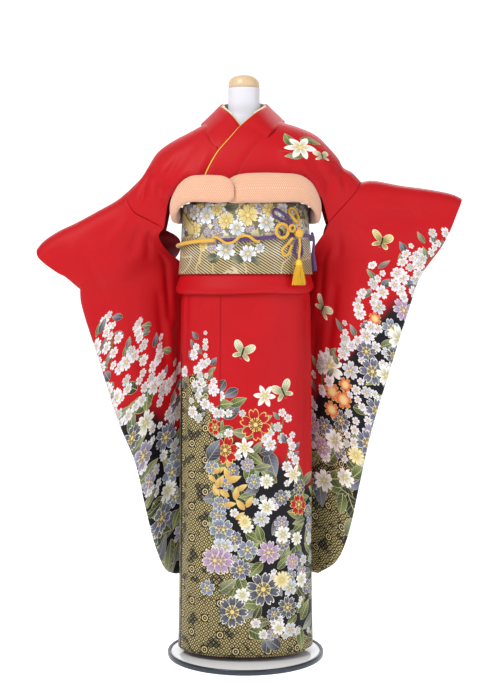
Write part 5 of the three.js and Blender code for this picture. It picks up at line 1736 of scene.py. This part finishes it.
cap_line = outline([(37, 0), (40, 4), (39, 16), (33, 27), (20, 34), (0.5, 36.5)])(np.linspace(0, 1, 40))
hand_over(lathe_mesh("neck_cap_wood", cap_line, 64, (NECK_X, 0, NECK_TOP + 0.3)), WOOD, "neck_cap")
plate = [(0, 0), (PLATE_RADIUS - 2, 0), (PLATE_RADIUS - 0.4, 0.7), (PLATE_RADIUS, 2), (PLATE_RADIUS, 9),
         (PLATE_RADIUS - 1, 11), (PLATE_RADIUS - 4, PLATE_THICK), (0, PLATE_THICK)]
hand_over(lathe_mesh("stand_plate_disc", plate, 160), WHITE_GLOSS, "stand_plate")
RIM_INSIDE = PLATE_RADIUS + 0.4
rim = [(RIM_INSIDE, 1), (RIM_RADIUS - 2, 0), (RIM_RADIUS - 0.6, 0.8), (RIM_RADIUS, 3), (RIM_RADIUS, 11),
       (RIM_RADIUS - 1, 13.2), (RIM_RADIUS - 3, 14), (RIM_INSIDE, 13)]
hand_over(loft_mesh("stand_rim_ring", [[(r * math.cos(a), r * math.sin(a), z) for r, z in rim]
                                       for a in round_angles(160)], True),
          STEEL, "stand_rim")
POLE_TALL = FORM_LOW - PLATE_THICK - 0.6
pole = [(0, 0), (46, 0), (46, 3.4), (44, 4.6), (18, 9), (15, 14), (POLE_RADIUS, 24),
        (POLE_RADIUS, POLE_TALL), (0, POLE_TALL)]
hand_over(lathe_mesh("stand_pole_tube", pole, 64, (0, 0, PLATE_THICK + 0.3)), STEEL, "stand_pole")

# ---- Stage, lights and camera ------------------------------------------------------------------

floor_line = [(-8000, 0), (5200, 0), (5900, 80), (6400, 300), (6700, 800), (6750, 1500), (6750, 9000)]
sweep = outline(floor_line)(np.linspace(0, 1, 60))
points = [(x, y, z) for y, z in sweep for x in (-9000, 9000)]
floor = make_mesh("studio_sweep", points, [(2 * k, 2 * k + 1, 2 * k + 3, 2 * k + 2) for k in range(59)])
studio_white = plain_material("studio white", "F6F6F8", 0.6)
studio_shader = studio_white.node_tree.nodes["Principled BSDF"]
studio_shader.inputs["Emission Color"].default_value = (1, 1, 1, 1)
studio_shader.inputs["Emission Strength"].default_value = 0.5
floor.data.materials.append(studio_white)

world = bpy.data.worlds.new("studio")
bpy.context.scene.world = world
world.use_nodes = True
world.node_tree.nodes["Background"].inputs["Color"].default_value = (0.96, 0.97, 1, 1)
world.node_tree.nodes["Background"].inputs["Strength"].default_value = 0.47


def area_light(name, place, target, size, power):
    data = bpy.data.lights.new(name, "AREA")
    data.shape, data.size, data.size_y, data.energy = "RECTANGLE", size[0], size[1], power
    lamp = bpy.data.objects.new(name, data)
    lamp.location = place
    lamp.rotation_euler = (Vector(target) - Vector(place)).to_track_quat("-Z", "Y").to_euler()
    bpy.context.scene.collection.objects.link(lamp)


area_light("key light", (-1.1, -1.7, 2.7), (0, 0, 1.25), (1.2, 1.2), 45)
area_light("fill light", (2.6, -2.4, 1.9), (0, 0, 0.8), (1.6, 2.0), 26)
area_light("back light", (0.3, 1.9, 2.7), (0, 0, 1.0), (2.4, 1.0), 26)

camera_data = bpy.data.cameras.new("camera")
camera_data.sensor_width, camera_data.lens = 36, 67.3
camera = bpy.data.objects.new("camera", camera_data)
bpy.context.scene.collection.objects.link(camera)
bpy.context.scene.camera = camera
camera.location = (0.0039, -3.4, 0.95)
camera.rotation_euler = (Vector((0.0039, 0, 0.798)) - camera.location).to_track_quat("-Z", "Y").to_euler()
bpy.context.scene.view_settings.view_transform = "Standard"
